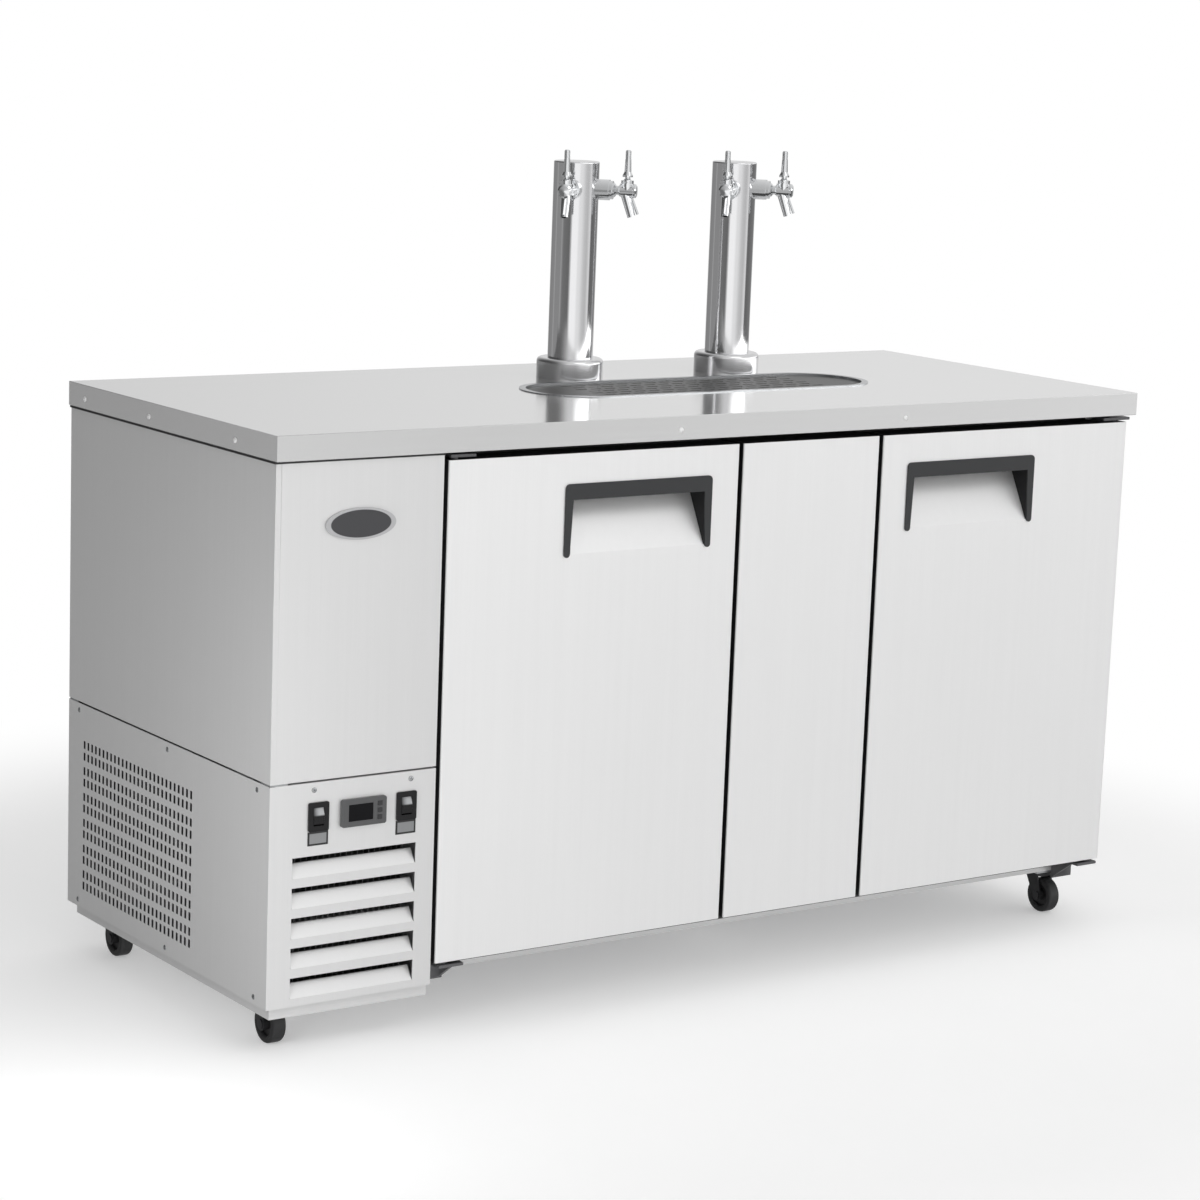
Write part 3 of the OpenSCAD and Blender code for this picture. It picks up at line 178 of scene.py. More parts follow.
class FittingSettings(bpy.types.PropertyGroup):
    """Sizes of the repeated small fittings and of the softened edges."""

    screw_radius: length_setting("Screw radius", "Radius of the panel screw heads", 0.0045)
    rivet_radius: length_setting("Rivet radius", "Radius of the rivets in the worktop's edge", 0.0046)
    rivet_drop: length_setting("Rivet drop", "Depth of the rivets below the worktop", 0.0235)
    thread_pitch: length_setting("Thread pitch", "Pitch of the thread on the lever studs", 0.0016)
    thread_depth: length_setting("Thread depth", "Radius of the thread's ridge", 0.00045)
    stud_tip: length_setting("Stud tip", "Bare tip of a stud above its thread", 0.0015)
    label_width: length_setting("Label width", "Width of the label plates", 0.036)
    label_height: length_setting("Label height", "Height of the label plates", 0.022)
    label_rim: length_setting("Label rim", "Width of the label plates' dark rim", 0.0030)
    label_thick: length_setting("Label thickness", "Thickness of the label plates", 0.0008)
    label_gap: length_setting("Label gap", "Gap between a switch and its label plate", 0.0006)
    badge_edge: length_setting("Badge edge", "Width of the badge's rim", 0.0035)
    # Size and place of the painted shadow strip under the worktop's edge
    shadow_strip_height: length_setting("Shadow strip height", "Height of the strip under the worktop's edge", 0.0035)
    shadow_strip_depth: length_setting("Shadow strip depth", "Depth of the strip at the front panel", 0.0025)
    shadow_strip_inset: length_setting("Shadow strip inset", "Distance of the strip behind the worktop's left edge", 0.0005)
    shadow_strip_gap: length_setting("Shadow strip gap", "Gap between the worktop's edge and the strip", 0.0002)
    sheet_edge: length_setting("Sheet edge", "Radius of the folded sheet edges", 0.0014)
    moulded_edge: length_setting("Moulded edge", "Radius of the edges of moulded pieces", 0.0010)
    hinge_edge: length_setting("Hinge edge", "Radius of the edges of the hinge brackets", 0.0006)
    seed: IntProperty(name="Seed", description="Seed for the turn of the screw heads", default=4, min=0)


class StageSettings(bpy.types.PropertyGroup):
    """Camera and light of the studio."""

    azimuth: angle_setting("Azimuth", "Turn of the camera from the front", -34.97)
    height: angle_setting("Elevation", "Camera's angle above the horizon", 10.42)
    roll: angle_setting("Roll", "Roll of the camera", 2.16)
    distance: length_setting("Distance", "Distance of the camera from its target", 5.657)
    target: FloatVectorProperty(
        name="Target", description="Point that the camera looks at", default=(-0.032, 0.0, 0.607),
        subtype="XYZ", unit="LENGTH",
    )
    lens: FloatProperty(
        name="Lens", description="Focal length in millimetres", default=97.11, min=10.0, unit="CAMERA"
    )
    floor: colour_setting("Floor", "Colour of the floor", (0.80, 0.80, 0.80))
    bright: level_setting("Bright sky", "Light from above on the right", 0.80)
    dim: level_setting("Dim sky", "Light from above on the left", 0.08)
    softbox: level_setting("Softbox", "Light of the panel in front of the doors", 2.6)
    glow: level_setting("Floor glow", "Light that the floor itself shows near the object", 0.30)
    key_power: level_setting("Key lamp", "Power of the key lamp", 18.0, unit="POWER")
    side_power: level_setting("Side lamp", "Power of the lamp at the front left corner", 4.0, unit="POWER")


class KegCoolerSettings(bpy.types.PropertyGroup):
    """Everything that the sidebar panel shows."""

    steel: PointerProperty(type=SteelSettings, name="Steel", description="Metal finishes")
    plastic: PointerProperty(type=PlasticSettings, name="Plastic", description="Plastic and rubber finishes")
    fitting: PointerProperty(type=FittingSettings, name="Fittings", description="Sizes of the small fittings")
    stage: PointerProperty(type=StageSettings, name="Stage", description="Camera and light")


# Node trees


def pick(sockets, key):
    """A socket by its number, identifier or name."""
    if isinstance(key, int):
        return sockets[key]
    for socket in sockets:
        if socket.identifier == key or (socket.name == key and socket.enabled):
            return socket
    raise KeyError(f"no socket {key!r} among {[s.identifier for s in sockets]}")


class Wire:
    """One output socket with arithmetic: each operator adds a Math node to its tree."""

    def __init__(self, tree, socket):
        self.tree = tree
        self.socket = socket

    def maths(self, operation, *terms):
        return self.tree.add("ShaderNodeMath", {"operation": operation}, dict(enumerate(terms)))

    def __add__(self, other):
        return self.maths("ADD", self, other)

    def __radd__(self, other):
        return self.maths("ADD", other, self)

    def __sub__(self, other):
        return self.maths("SUBTRACT", self, other)

    def __rsub__(self, other):
        return self.maths("SUBTRACT", other, self)

    def __mul__(self, other):
        return self.maths("MULTIPLY", self, other)

    def __rmul__(self, other):
        return self.maths("MULTIPLY", other, self)

    def __truediv__(self, other):
        return self.maths("DIVIDE", self, other)

    def __pow__(self, other):
        return self.maths("POWER", self, other)

    def __abs__(self):
        return self.maths("ABSOLUTE", self)

    def ramp(self, low, high, start=0.0, end=1.0):
        """Goes smoothly from start to end as the value goes from low to high."""
        return self.tree.add(
            "ShaderNodeMapRange",
            {"interpolation_type": "SMOOTHSTEP"},
            {"Value": self, "From Min": low, "From Max": high, "To Min": start, "To Max": end},
            "Result",
        )

    def steps(self, stops):
        """Follows a list of places and levels, going smoothly from each level to the next."""
        (place, level), *rest = stops
        total = level
        for after, height in rest:
            total = self.ramp(place, after, 0.0, height - level) + total
            place, level = after, height
        return total


class Tree:
    """A node tree to which nodes are added by type, settings and inputs."""

    def __init__(self, data):
        self.data = data

    def add(self, kind, settings=None, sockets=None, output=0):
        """Makes one node and returns one of its outputs, or None if it has no outputs."""
        node = self.data.nodes.new(kind)
        for name, value in (settings or {}).items():
            setattr(node, name, value)
        for key, value in (sockets or {}).items():
            self.put(pick(node.inputs, key), value)
        return Wire(self, pick(node.outputs, output)) if node.outputs else None

    def put(self, socket, value):
        """Links a wire to a socket, or sets the socket's constant."""
        if isinstance(value, Wire):
            self.data.links.new(value.socket, socket)
        else:
            socket.default_value = value

    def split(self, vector):
        """The three parts of a vector."""
        parts = self.add("ShaderNodeSeparateXYZ", None, {"Vector": vector})
        return [Wire(self, socket) for socket in parts.socket.node.outputs]

    def noise(self, at, scale=1.0, detail=2.0, rough=0.55):
        """Noise from 0 to 1 over the given coordinates."""
        return self.add(
            "ShaderNodeTexNoise", None, {"Vector": at, "Scale": scale, "Detail": detail, "Roughness": rough}
        )

    def drawn(self, at, along, fine, coarse):
        """Coordinates for lines along one axis: fine across it and coarse along it."""
        factors = [fine, fine, fine]
        factors["xyz".index(along)] = coarse
        return self.add("ShaderNodeVectorMath", {"operation": "MULTIPLY"}, {0: at, 1: factors})

    def tinted(self, colour, factor):
        """A colour scaled by a wire."""
        return self.add(
            "ShaderNodeVectorMath", {"operation": "SCALE"}, {"Vector": tuple(colour), "Scale": factor}
        )

    def mixed(self, factor, first, second):
        """A colour between two colours."""
        return self.add(
            "ShaderNodeMix",
            {"data_type": "RGBA"},
            {"Factor_Float": factor, "A_Color": first, "B_Color": second},
            "Result_Color",
        )


# Finishes


def varied(base, *parts):
    """A base value with noises added about their middle, each times its weight."""
    total = base
    for weight, noise in parts:
        total = total + weight * (noise - 0.5)
    return total


def surface(name, rough, metal, coat=0.0, gloss=0.5):
    """An empty Principled material: its material, tree, shader node and object coordinates."""
    made = bpy.data.materials.new(name)
    made.use_nodes = True
    tree = Tree(made.node_tree)
    shader = made.node_tree.nodes["Principled BSDF"]
    even = {"Roughness": rough, "Metallic": metal, "Coat Weight": coat, "Specular IOR Level": gloss}
    for socket, value in even.items():
        shader.inputs[socket].default_value = value
    at = tree.add("ShaderNodeTexCoord", None, None, "Object")
    return made, tree, shader, at


def painted(tree, shader, colour, rough, height, strength, depth):
    """Gives a shader its colour and roughness and bumps from a height of 0 to 1, depth metres deep."""
    bump = tree.add("ShaderNodeBump", None, {"Strength": strength, "Distance": depth, "Height": height})
    for socket, value in {"Base Color": colour, "Roughness": rough, "Normal": bump}.items():
        tree.put(shader.inputs[socket], value)


def brushed(name, colour, rough, along, metal=0.92, tone=0.10, wear=0.08, cloud=0.03):
    """Brushed sheet: fine lines drawn out along one axis, with broad cloudiness and faint wipe marks."""
    made, tree, shader, at = surface(name, rough, metal)
    lines = tree.noise(tree.drawn(at, along, fine=900.0, coarse=5.0), detail=3.0, rough=0.65)
    streaks = tree.noise(tree.drawn(at, along, fine=90.0, coarse=1.5))
    haze = tree.noise(at, scale=2.2, detail=3.0)
    tint = tree.tinted(colour, varied(1.0, (tone, lines), (0.5 * tone, streaks), (cloud, haze)))
    worn = varied(rough, (wear, lines), (wear, haze))
    painted(tree, shader, tint, worn, lines, strength=0.12, depth=0.00006)
    return made


def polished(name, colour, rough, metal=1.0, scale=60.0):
    """Polished or plated metal with faint smears and fine upright scratches."""
    made, tree, shader, at = surface(name, rough, metal)
    smears = tree.noise(at, scale, detail=4.0, rough=0.6)
    scratch = tree.noise(tree.drawn(at, "z", fine=1500.0, coarse=40.0))
    tint = tree.tinted(colour, varied(1.0, (0.04, smears)))
    worn = varied(rough, (0.03, smears), (0.03, scratch))
    painted(tree, shader, tint, worn, scratch, strength=0.04, depth=0.00002)
    return made


def spangled(name, colour, rough, metal=0.85):
    """Galvanised sheet with a crystal pattern."""
    made, tree, shader, at = surface(name, rough, metal)
    crystal = tree.add("ShaderNodeTexVoronoi", None, {"Vector": at, "Scale": 95.0}, "Color")
    grey = tree.split(crystal)[0]
    dust = tree.noise(at, scale=14.0, detail=4.0)
    tint = tree.tinted(colour, varied(0.86 + 0.22 * grey, (0.14, dust)))
    worn = varied(rough, (0.14, grey), (0.1, dust))
    painted(tree, shader, tint, worn, grey, strength=0.15, depth=0.0001)
    return made


def moulded(name, colour, rough, grain=1400.0, bump=0.25, depth=0.00012, metal=0.0, coat=0.0, gloss=0.5):
    """Plastic, rubber or paint with a fine moulded grain and slight wear."""
    made, tree, shader, at = surface(name, rough, metal, coat, gloss)
    speck = tree.noise(at, grain, rough=0.5)
    dull = tree.noise(at, scale=30.0, detail=4.0, rough=0.6)
    tint = tree.tinted(colour, varied(1.0, (0.16, speck), (0.20, dull)))
    worn = varied(rough, (0.10, speck), (0.14, dull))
    painted(tree, shader, tint, worn, speck, bump, depth)
    return made


def lined(name, colour, strip, rough, front, fade=0.001):
    """Pebbled lining with painted shade: a dark strip round the door openings, in front of a place on Y."""
    made, tree, shader, at = surface(name, rough, metal=0.0)
    pebble = tree.noise(at, scale=260.0, rough=0.5)
    stain = tree.noise(at, scale=30.0, detail=4.0, rough=0.6)
    clean = tree.tinted(colour, varied(1.0, (0.10, pebble), (0.14, stain)))
    # Painted shade seen through the door gaps: the strip colour in front of the given place
    share = tree.split(at)[1].ramp(front, front + fade, 1.0, 0.0)
    tint = tree.mixed(share, clean, (*strip, 1.0))
    worn = varied(rough, (0.10, pebble), (0.14, stain))
    painted(tree, shader, tint, worn, pebble, strength=0.35, depth=0.0006)
    return made


def framed(name, inner, rim, centre, half, edge, rough, oval=False, metal=0.0):
    """A plate in X and Z, a box or an oval, with a rim of another colour edge metres wide."""
    made, tree, shader, at = surface(name, rough, metal)
    x, _, z = tree.split(at)
    across, up = abs(x - centre.x), abs(z - centre.z)
    if oval:
        reach = ((across / half[0]) ** 2.0 + (up / half[1]) ** 2.0) ** 0.5 * half[1] - half[1]
    else:
        reach = across.maths("MAXIMUM", across - half[0], up - half[1])
    share = reach.ramp(-1.1 * edge, -0.9 * edge)
    speck = tree.noise(at, scale=900.0, detail=3.0)
    tint = tree.mixed(share, (*inner, 1.0), (*rim, 1.0))
    painted(tree, shader, tint, varied(rough, (0.12, speck)), speck, strength=0.1, depth=0.00005)
    return made


# Pieces


def dressed(material, *nodes):
    """Gives CAD nodes a material."""
    for name in nodes:
        slots = NODES[name].data.materials
        slots.clear()
        slots.append(material)


def linked(name, data):
    """A new object in the scene."""
    made = bpy.data.objects.new(name, data)
    bpy.context.scene.collection.objects.link(made)
    return made


def kept(work, name):
    """A new mesh from a finished bmesh."""
    mesh = bpy.data.meshes.new(name)
    work.to_mesh(mesh)
    work.free()
    return mesh


def placed(name, mesh, body, material=None):
    """A new piece that rides on a body."""
    made = linked(name, mesh)
    if material:
        mesh.materials.clear()
        mesh.materials.append(material)
    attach(made, body)
    return made


def evaluated(carrier, modifier):
    """The plain mesh that a modifier makes of a carrier, which is then taken away with its modifier."""
    graph = bpy.context.evaluated_depsgraph_get()
    plain = bpy.data.meshes.new_from_object(carrier.evaluated_get(graph))
    if not plain.polygons:
        raise RuntimeError(f"{carrier.name}: {modifier.name} made no faces")
    carrier.modifiers.remove(modifier)
    bpy.data.objects.remove(carrier)
    return plain


def merged(node):
    """A copy of a CAD node's mesh to work on, with its split corners merged."""
    work = bmesh.new()
    work.from_mesh(NODES[node].data)
    bmesh.ops.remove_doubles(work, verts=work.verts, dist=MERGE)
    return work


def instead(node, mesh, material):
    """A piece that is shown instead of a CAD node."""
    made = placed(node + "_finish", mesh, NODES[node]["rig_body"], material)
    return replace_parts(made, node)


def repainted(piece, material, chosen):
    """Gives the faces that a test chooses a second material."""
    piece.data.materials.append(material)
    for face in piece.data.polygons:
        if chosen(face):
            face.material_index = 1


def softened(node, width, material, least=0.012):
    """A copy of a CAD node with its longer outer edges rounded, shown instead of the node."""
    work = merged(node)
    bmesh.ops.dissolve_limit(work, angle_limit=FLAT, verts=work.verts, edges=work.edges)
    weight = work.edges.layers.float.new("bevel_weight_edge")
    for edge in work.edges:
        if edge.is_manifold and edge.calc_length() > least and edge.calc_face_angle_signed() > CORNER:
            edge[weight] = 1.0
    mesh = kept(work, node + "_soft")
    mesh.shade_smooth()
    mesh.set_sharp_from_angle(angle=SMOOTH)
    rounded = mesh.attributes["bevel_weight_edge"].data
    for face in mesh.polygons:
        for corner in face.loop_indices if face.area > LARGE else ():
            edge = mesh.edges[mesh.loops[corner].edge_index]
            edge.use_edge_sharp |= rounded[edge.index].value == 0.0
    carrier = linked(node + "_carrier", mesh)
    bevel = carrier.modifiers.new("Edges", "BEVEL")
    bevel.limit_method = "WEIGHT"
    bevel.width = width
    bevel.segments = 3
    bevel.harden_normals = True
    return instead(node, evaluated(carrier, bevel), material)


def shade_edges(piece, material, front):
    """Gives the narrow faces of a slab, those behind its front, a second, dark material as painted shade."""
    repainted(piece, material, lambda face: abs(face.normal.y) < FACING and face.center.y > front)


def pierced(node, material, dark, longest):
    """A copy of a CAD sheet that faces X, with the walls of its small holes painted dark as shade, shown
    instead of the node.
    """
    mesh = kept(merged(node), node + "_pierced")
    mesh.shade_flat()
    made = instead(node, mesh, material)

    # The walls of the small holes, which take the painted shade
    def wall(face):
        reach = max((mesh.vertices[a].co - mesh.vertices[b].co).length for a, b in face.edge_keys)
        return abs(face.normal.x) < FACING and reach < longest

    repainted(made, dark, wall)


def boxes(name, corners):
    """A mesh of plain boxes, each from its lowest to its highest corner."""
    work = bmesh.new()
    for low, high in corners:
        size = Vector(high) - Vector(low)
        middle = (Vector(high) + Vector(low)) / 2
        place = Matrix.Translation(middle) @ Matrix.Diagonal((*size, 1.0))
        bmesh.ops.create_cube(work, size=1.0, matrix=place)
    return kept(work, name)


def points(name, places):
    """A mesh of loose points, each with the direction it faces."""
    mesh = bpy.data.meshes.new(name)
    mesh.from_pydata([place for place, _ in places], [], [])
    facing = mesh.attributes.new("facing", "FLOAT_VECTOR", "POINT")
    facing.data.foreach_set("vector", [part for _, way in places for part in way])
    return mesh


# Geometry node trees


def geometry_tree(name, inputs):
    """A geometry tree with named inputs: the tree and a wire for each input."""
    data = bpy.data.node_groups.new(name, "GeometryNodeTree")
    data.interface.new_socket(name="Geometry", in_out="INPUT", socket_type="NodeSocketGeometry")
    for label, kind in inputs.items():
        data.interface.new_socket(name=label, in_out="INPUT", socket_type="NodeSocket" + kind)
    data.interface.new_socket(name="Geometry", in_out="OUTPUT", socket_type="NodeSocketGeometry")
    tree = Tree(data)
    entry = tree.add("NodeGroupInput").socket.node
    wires = {socket.name: Wire(tree, socket) for socket in entry.outputs if socket.name}
    return tree, wires


def ended(tree, geometry, material):
    """Ends a geometry tree with plain, painted geometry."""
    real = tree.add("GeometryNodeRealizeInstances", None, {"Geometry": geometry})
    coloured = tree.add("GeometryNodeSetMaterial", None, {"Geometry": real, "Material": material})
    tree.add("NodeGroupOutput", None, {0: coloured})
    return tree.data


def head_tree():
    """Screw or rivet heads on points: a domed head with an optional cross recess."""
    tree, given = geometry_tree(
        "Fastener heads",
        {"Radius": "Float", "Height": "Float", "Recess": "Float", "Seed": "Int", "Material": "Material"},
    )
    radius, height, recess = given["Radius"], given["Height"], given["Recess"]
    ball = tree.add("GeometryNodeMeshUVSphere", None, {"Segments": 24, "Rings": 16, "Radius": radius})
    squeeze = tree.add("ShaderNodeCombineXYZ", None, {0: 1.0, 1: 1.0, 2: height / radius})
    dome = tree.add("GeometryNodeTransform", None, {"Geometry": ball, "Scale": squeeze})
    arm_width, arm_length, arm_lift = 0.32, 1.25, 0.95
    arms = []
    for long_axis in (0, 1):
        parts = {0: arm_width * recess, 1: arm_width * recess, 2: height}
        parts[long_axis] = arm_length * recess
        size = tree.add("ShaderNodeCombineXYZ", None, parts)
        bar = tree.add("GeometryNodeMeshCube", None, {"Size": size})
        up = tree.add("ShaderNodeCombineXYZ", None, {2: height * arm_lift})
        arms.append(tree.add("GeometryNodeTransform", None, {"Geometry": bar, "Translation": up}))
    head = dome
    for arm in arms:
        head = tree.add(
            "GeometryNodeMeshBoolean", {"operation": "DIFFERENCE"}, {"Mesh 1": head, "Mesh 2": arm}, "Mesh"
        )
    smooth = tree.add("GeometryNodeSetShadeSmooth", None, {"Geometry": head, "Shade Smooth": True})
    facing = tree.add(
        "GeometryNodeInputNamedAttribute", {"data_type": "FLOAT_VECTOR"}, {"Name": "facing"}, "Attribute"
    )
    upright = tree.add("FunctionNodeAlignRotationToVector", {"axis": "Z"}, {"Vector": facing})
    spin = tree.add(
        "FunctionNodeRandomValue",
        {"data_type": "FLOAT"},
        {"Min_001": 0.0, "Max_001": math.pi, "Seed": given["Seed"]},
        "Value_001",
    )
    turn = tree.add("FunctionNodeAxisAngleToRotation", None, {"Axis": (0.0, 0.0, 1.0), "Angle": spin})
    aimed = tree.add(
        "FunctionNodeRotateRotation", {"rotation_space": "LOCAL"}, {"Rotation": upright, "Rotate By": turn}
    )
    heads = tree.add(
        "GeometryNodeInstanceOnPoints",
        None,
        {"Points": given["Geometry"], "Instance": smooth, "Rotation": aimed},
    )
    return ended(tree, heads, given["Material"])


def thread_tree():
    """A helical ridge on each point, along Z."""
    tree, given = geometry_tree(
        "Stud thread",
        {"Radius": "Float", "Length": "Float", "Pitch": "Float", "Ridge": "Float", "Material": "Material"},
    )
    turns = given["Length"] / given["Pitch"]
    helix = tree.add(
        "GeometryNodeCurveSpiral",
        None,
        {
            "Resolution": 24, "Rotations": turns, "Height": given["Length"],
            "Start Radius": given["Radius"], "End Radius": given["Radius"],
        },
    )
    section = tree.add("GeometryNodeCurvePrimitiveCircle", None, {"Resolution": 6, "Radius": given["Ridge"]})
    ridge = tree.add(
        "GeometryNodeCurveToMesh", None, {"Curve": helix, "Profile Curve": section, "Fill Caps": True}
    )
    ridges = tree.add("GeometryNodeInstanceOnPoints", None, {"Points": given["Geometry"], "Instance": ridge})
    return ended(tree, ridges, given["Material"])


def grown(name, data, places, values, body):
    """Runs a geometry tree on points and keeps its result as a plain piece."""
    carrier = linked(name + "_points", points(name + "_points", places))
    build = carrier.modifiers.new("Build", "NODES")
    build.node_group = data
    for item in data.interface.items_tree:
        if item.in_out == "INPUT" and item.name in values:
            build[item.identifier] = values[item.name]
    return placed(name, evaluated(carrier, build), body, None)


# Operators


class KegCoolerOperator:
    """What the operators share: settings from the scene and an undo step."""

    bl_options = {"REGISTER", "UNDO"}

    @property
    def given(self):
        return bpy.context.scene.keg_cooler


class KEGCOOLER_OT_sheets(KegCoolerOperator, bpy.types.Operator):
    """Finish the worktop, doors, post and outer panels"""

    bl_idname = "kegcooler.sheets"
    bl_label = "Sheet metal"

    def execute(self, context):
        steel, fitting = self.given.steel, self.given.fitting
        edge = fitting.sheet_edge
        upright = brushed("sheet_upright", steel.sheet, steel.sheet_rough, "z", metal=0.50, tone=0.06)
        level = brushed("sheet_level", steel.top, steel.top_rough, "x", metal=0.75, tone=0.05, wear=0.04)
        softened("worktop", edge, level, least=0.1)
        # Black used as painted shade: on the door and post edges, in the vent slots and under the worktop's
        # edge
        gap_shade = moulded("gap_shade_black", self.given.plastic.black, 0.5)
        door = brushed("sheet_door", steel.door, steel.sheet_rough, "z", metal=0.50, tone=0.06)
        for name in ("left_door", "right_door", "centre_post"):
            made = softened(name, edge, door, least=0.1)
            # Painted shade on the narrow door and post faces that face the gaps
            shade_edges(made, gap_shade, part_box(name)[0].y + DOOR_FACE)
        softened("right_side_panel", edge, upright, least=0.1)
        for name in ("upper_side_panel", "upper_front_panel"):
            softened(name, edge / 3, upright, least=0.1)
        dressed(upright, "louvre_panel")
        # Painted shade in the vent slots
        pierced("vent_side_panel", upright, gap_shade, longest=0.03)
        # Painted shadow under the worktop's edge
        self.gasket_and_shadow_strip(gap_shade, fitting)
        return {"FINISHED"}

    def gasket_and_shadow_strip(self, gap_shade, fitting):
        """Painted shadow: a dark strip under the worktop's edge, along the machine compartment, where the
        edge leaves a shadow gap.
        """
        low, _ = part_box("worktop")
        side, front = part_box("upper_side_panel"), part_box("upper_front_panel")
        x, top = low.x + fitting.shadow_strip_inset, low.z - fitting.shadow_strip_gap
        foot = top - fitting.shadow_strip_height
        strips = [
            ((x, side[0].y, foot), (side[0].x, side[1].y, top)),
            ((x, front[0].y - fitting.shadow_strip_depth, foot), (front[1].x, front[0].y, top)),
        ]
        placed("worktop_shadow_strip", boxes("worktop_shadow_strip", strips), "cabinet", gap_shade)


class KEGCOOLER_OT_core(KegCoolerOperator, bpy.types.Operator):
    """Finish the lining, the base frame and the back"""

    bl_idname = "kegcooler.core"
    bl_label = "Cabinet core"

    def execute(self, context):
        steel, plastic = self.given.steel, self.given.plastic
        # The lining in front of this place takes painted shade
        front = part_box("partition_wall")[0].y + GAP_SHADE_DEPTH
        lining = lined("cabinet_lining", plastic.liner, plastic.black, 0.42, front)
        zinc = spangled("galvanised", steel.zinc, 0.42)
        dressed(lining, "ceiling_panel", "floor_panel", "partition_wall")
        dressed(zinc, "back_panel", "rear_grille", "corner_posts", "machine_tray")
        dressed(brushed("skirt_steel", steel.sheet, steel.sheet_rough, "x", metal=0.5), "base_frame")
        return {"FINISHED"}


class KEGCOOLER_OT_machinery(KegCoolerOperator, bpy.types.Operator):
    """Finish the refrigeration pieces and the fans"""

    bl_idname = "kegcooler.machinery"
    bl_label = "Machinery"

    def execute(self, context):
        steel, plastic = self.given.steel, self.given.plastic
        fins = brushed("coil_fins", steel.coil, 0.45, "z", cloud=0.2)
        paint = moulded(
            "compressor_paint", plastic.black, 0.36, grain=500.0, bump=0.2, depth=0.0003, coat=0.3
        )
        blades = moulded("fan_plastic", plastic.bezel, 0.45)
        cover = moulded("evaporator_cover_paint", plastic.liner, 0.40, grain=700.0)
        dressed(fins, "condenser_coil", "evaporator_coil")
        dressed(paint, "compressor", "fan_shroud")
        dressed(blades, "condenser_fan", "evaporator_fan", "cord_gland")
        dressed(cover, "evaporator_cover")
        return {"FINISHED"}


class KEGCOOLER_OT_towers(KegCoolerOperator, bpy.types.Operator):
    """Finish the towers and faucets and cut the threads of the lever studs"""

    bl_idname = "kegcooler.towers"
    bl_label = "Towers and faucets"

    def execute(self, context):
        steel, fitting = self.given.steel, self.given.fitting
        column = polished("column_steel", steel.column, steel.column_rough)
        chrome = polished("faucet_chrome", steel.chrome, 0.07, scale=220.0)
        base = polished("base_steel", steel.base, 0.19)
        dressed(column, "tower_columns", "tower_caps")
        dressed(base, "tower_bases")
        dressed(chrome, "faucet_shanks", "faucet_bodies", *("lever_" + number for number in "1234"))
        tree = thread_tree()
        for mount in frame["record"]["mounts"]:
            if not mount["name"].startswith("tap_stud"):
                continue
            number = mount["name"][-1]
            low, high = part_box("lever_" + number)
            radius = mount["dims"]["r_mm"] / 1000
            length = mount["dims"]["length_mm"] / 1000 - 3 * fitting.thread_depth
            foot = Vector(((low.x + high.x) / 2, (low.y + high.y) / 2, high.z - fitting.stud_tip - length))
            values = {
                "Radius": radius, "Length": length - 2 * fitting.thread_depth, "Pitch": fitting.thread_pitch,
                "Ridge": fitting.thread_depth, "Material": chrome,
            }
            grown("stud_thread_" + number, tree, [(foot, (0, 0, 1))], values, "lever_" + number)
        return {"FINISHED"}


class KEGCOOLER_OT_drip_tray(KegCoolerOperator, bpy.types.Operator):
    """Finish the drip tray and its perforated grid"""

    bl_idname = "kegcooler.drip_tray"
    bl_label = "Drip tray"

    def execute(self, context):
        steel = self.given.steel
        tray = brushed("tray_steel", steel.zinc, 0.26, "x", metal=0.9, tone=0.12)
        grid = brushed("grid_steel", steel.grid, 0.45, "x", metal=0.3, tone=0.16)
        dressed(tray, "drip_tray")
        dressed(grid, "drip_grid")
        return {"FINISHED"}


class KEGCOOLER_OT_handles(KegCoolerOperator, bpy.types.Operator):
    """Finish the door handles and gaskets"""

    bl_idname = "kegcooler.handles"
    bl_label = "Handles and gaskets"

    def execute(self, context):
        plastic = self.given.plastic
        grip = moulded("handle_plastic", plastic.handle, 0.48)
        gasket_and_shadow_strip = moulded("gasket_rubber", plastic.rubber, 0.6, grain=900.0)
        # Painted shade on the handles' side faces, darker than the handle plastic
        cheek_shade = moulded("cheek_plastic", plastic.black, 0.6, gloss=0.2)
        for name in ("left_handle", "right_handle"):
            made = softened(name, self.given.fitting.moulded_edge, grip, least=0.006)
            shade_edges(made, cheek_shade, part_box(name)[0].y + HANDLE_FACE)
        dressed(gasket_and_shadow_strip, "left_gasket", "right_gasket")
        return {"FINISHED"}


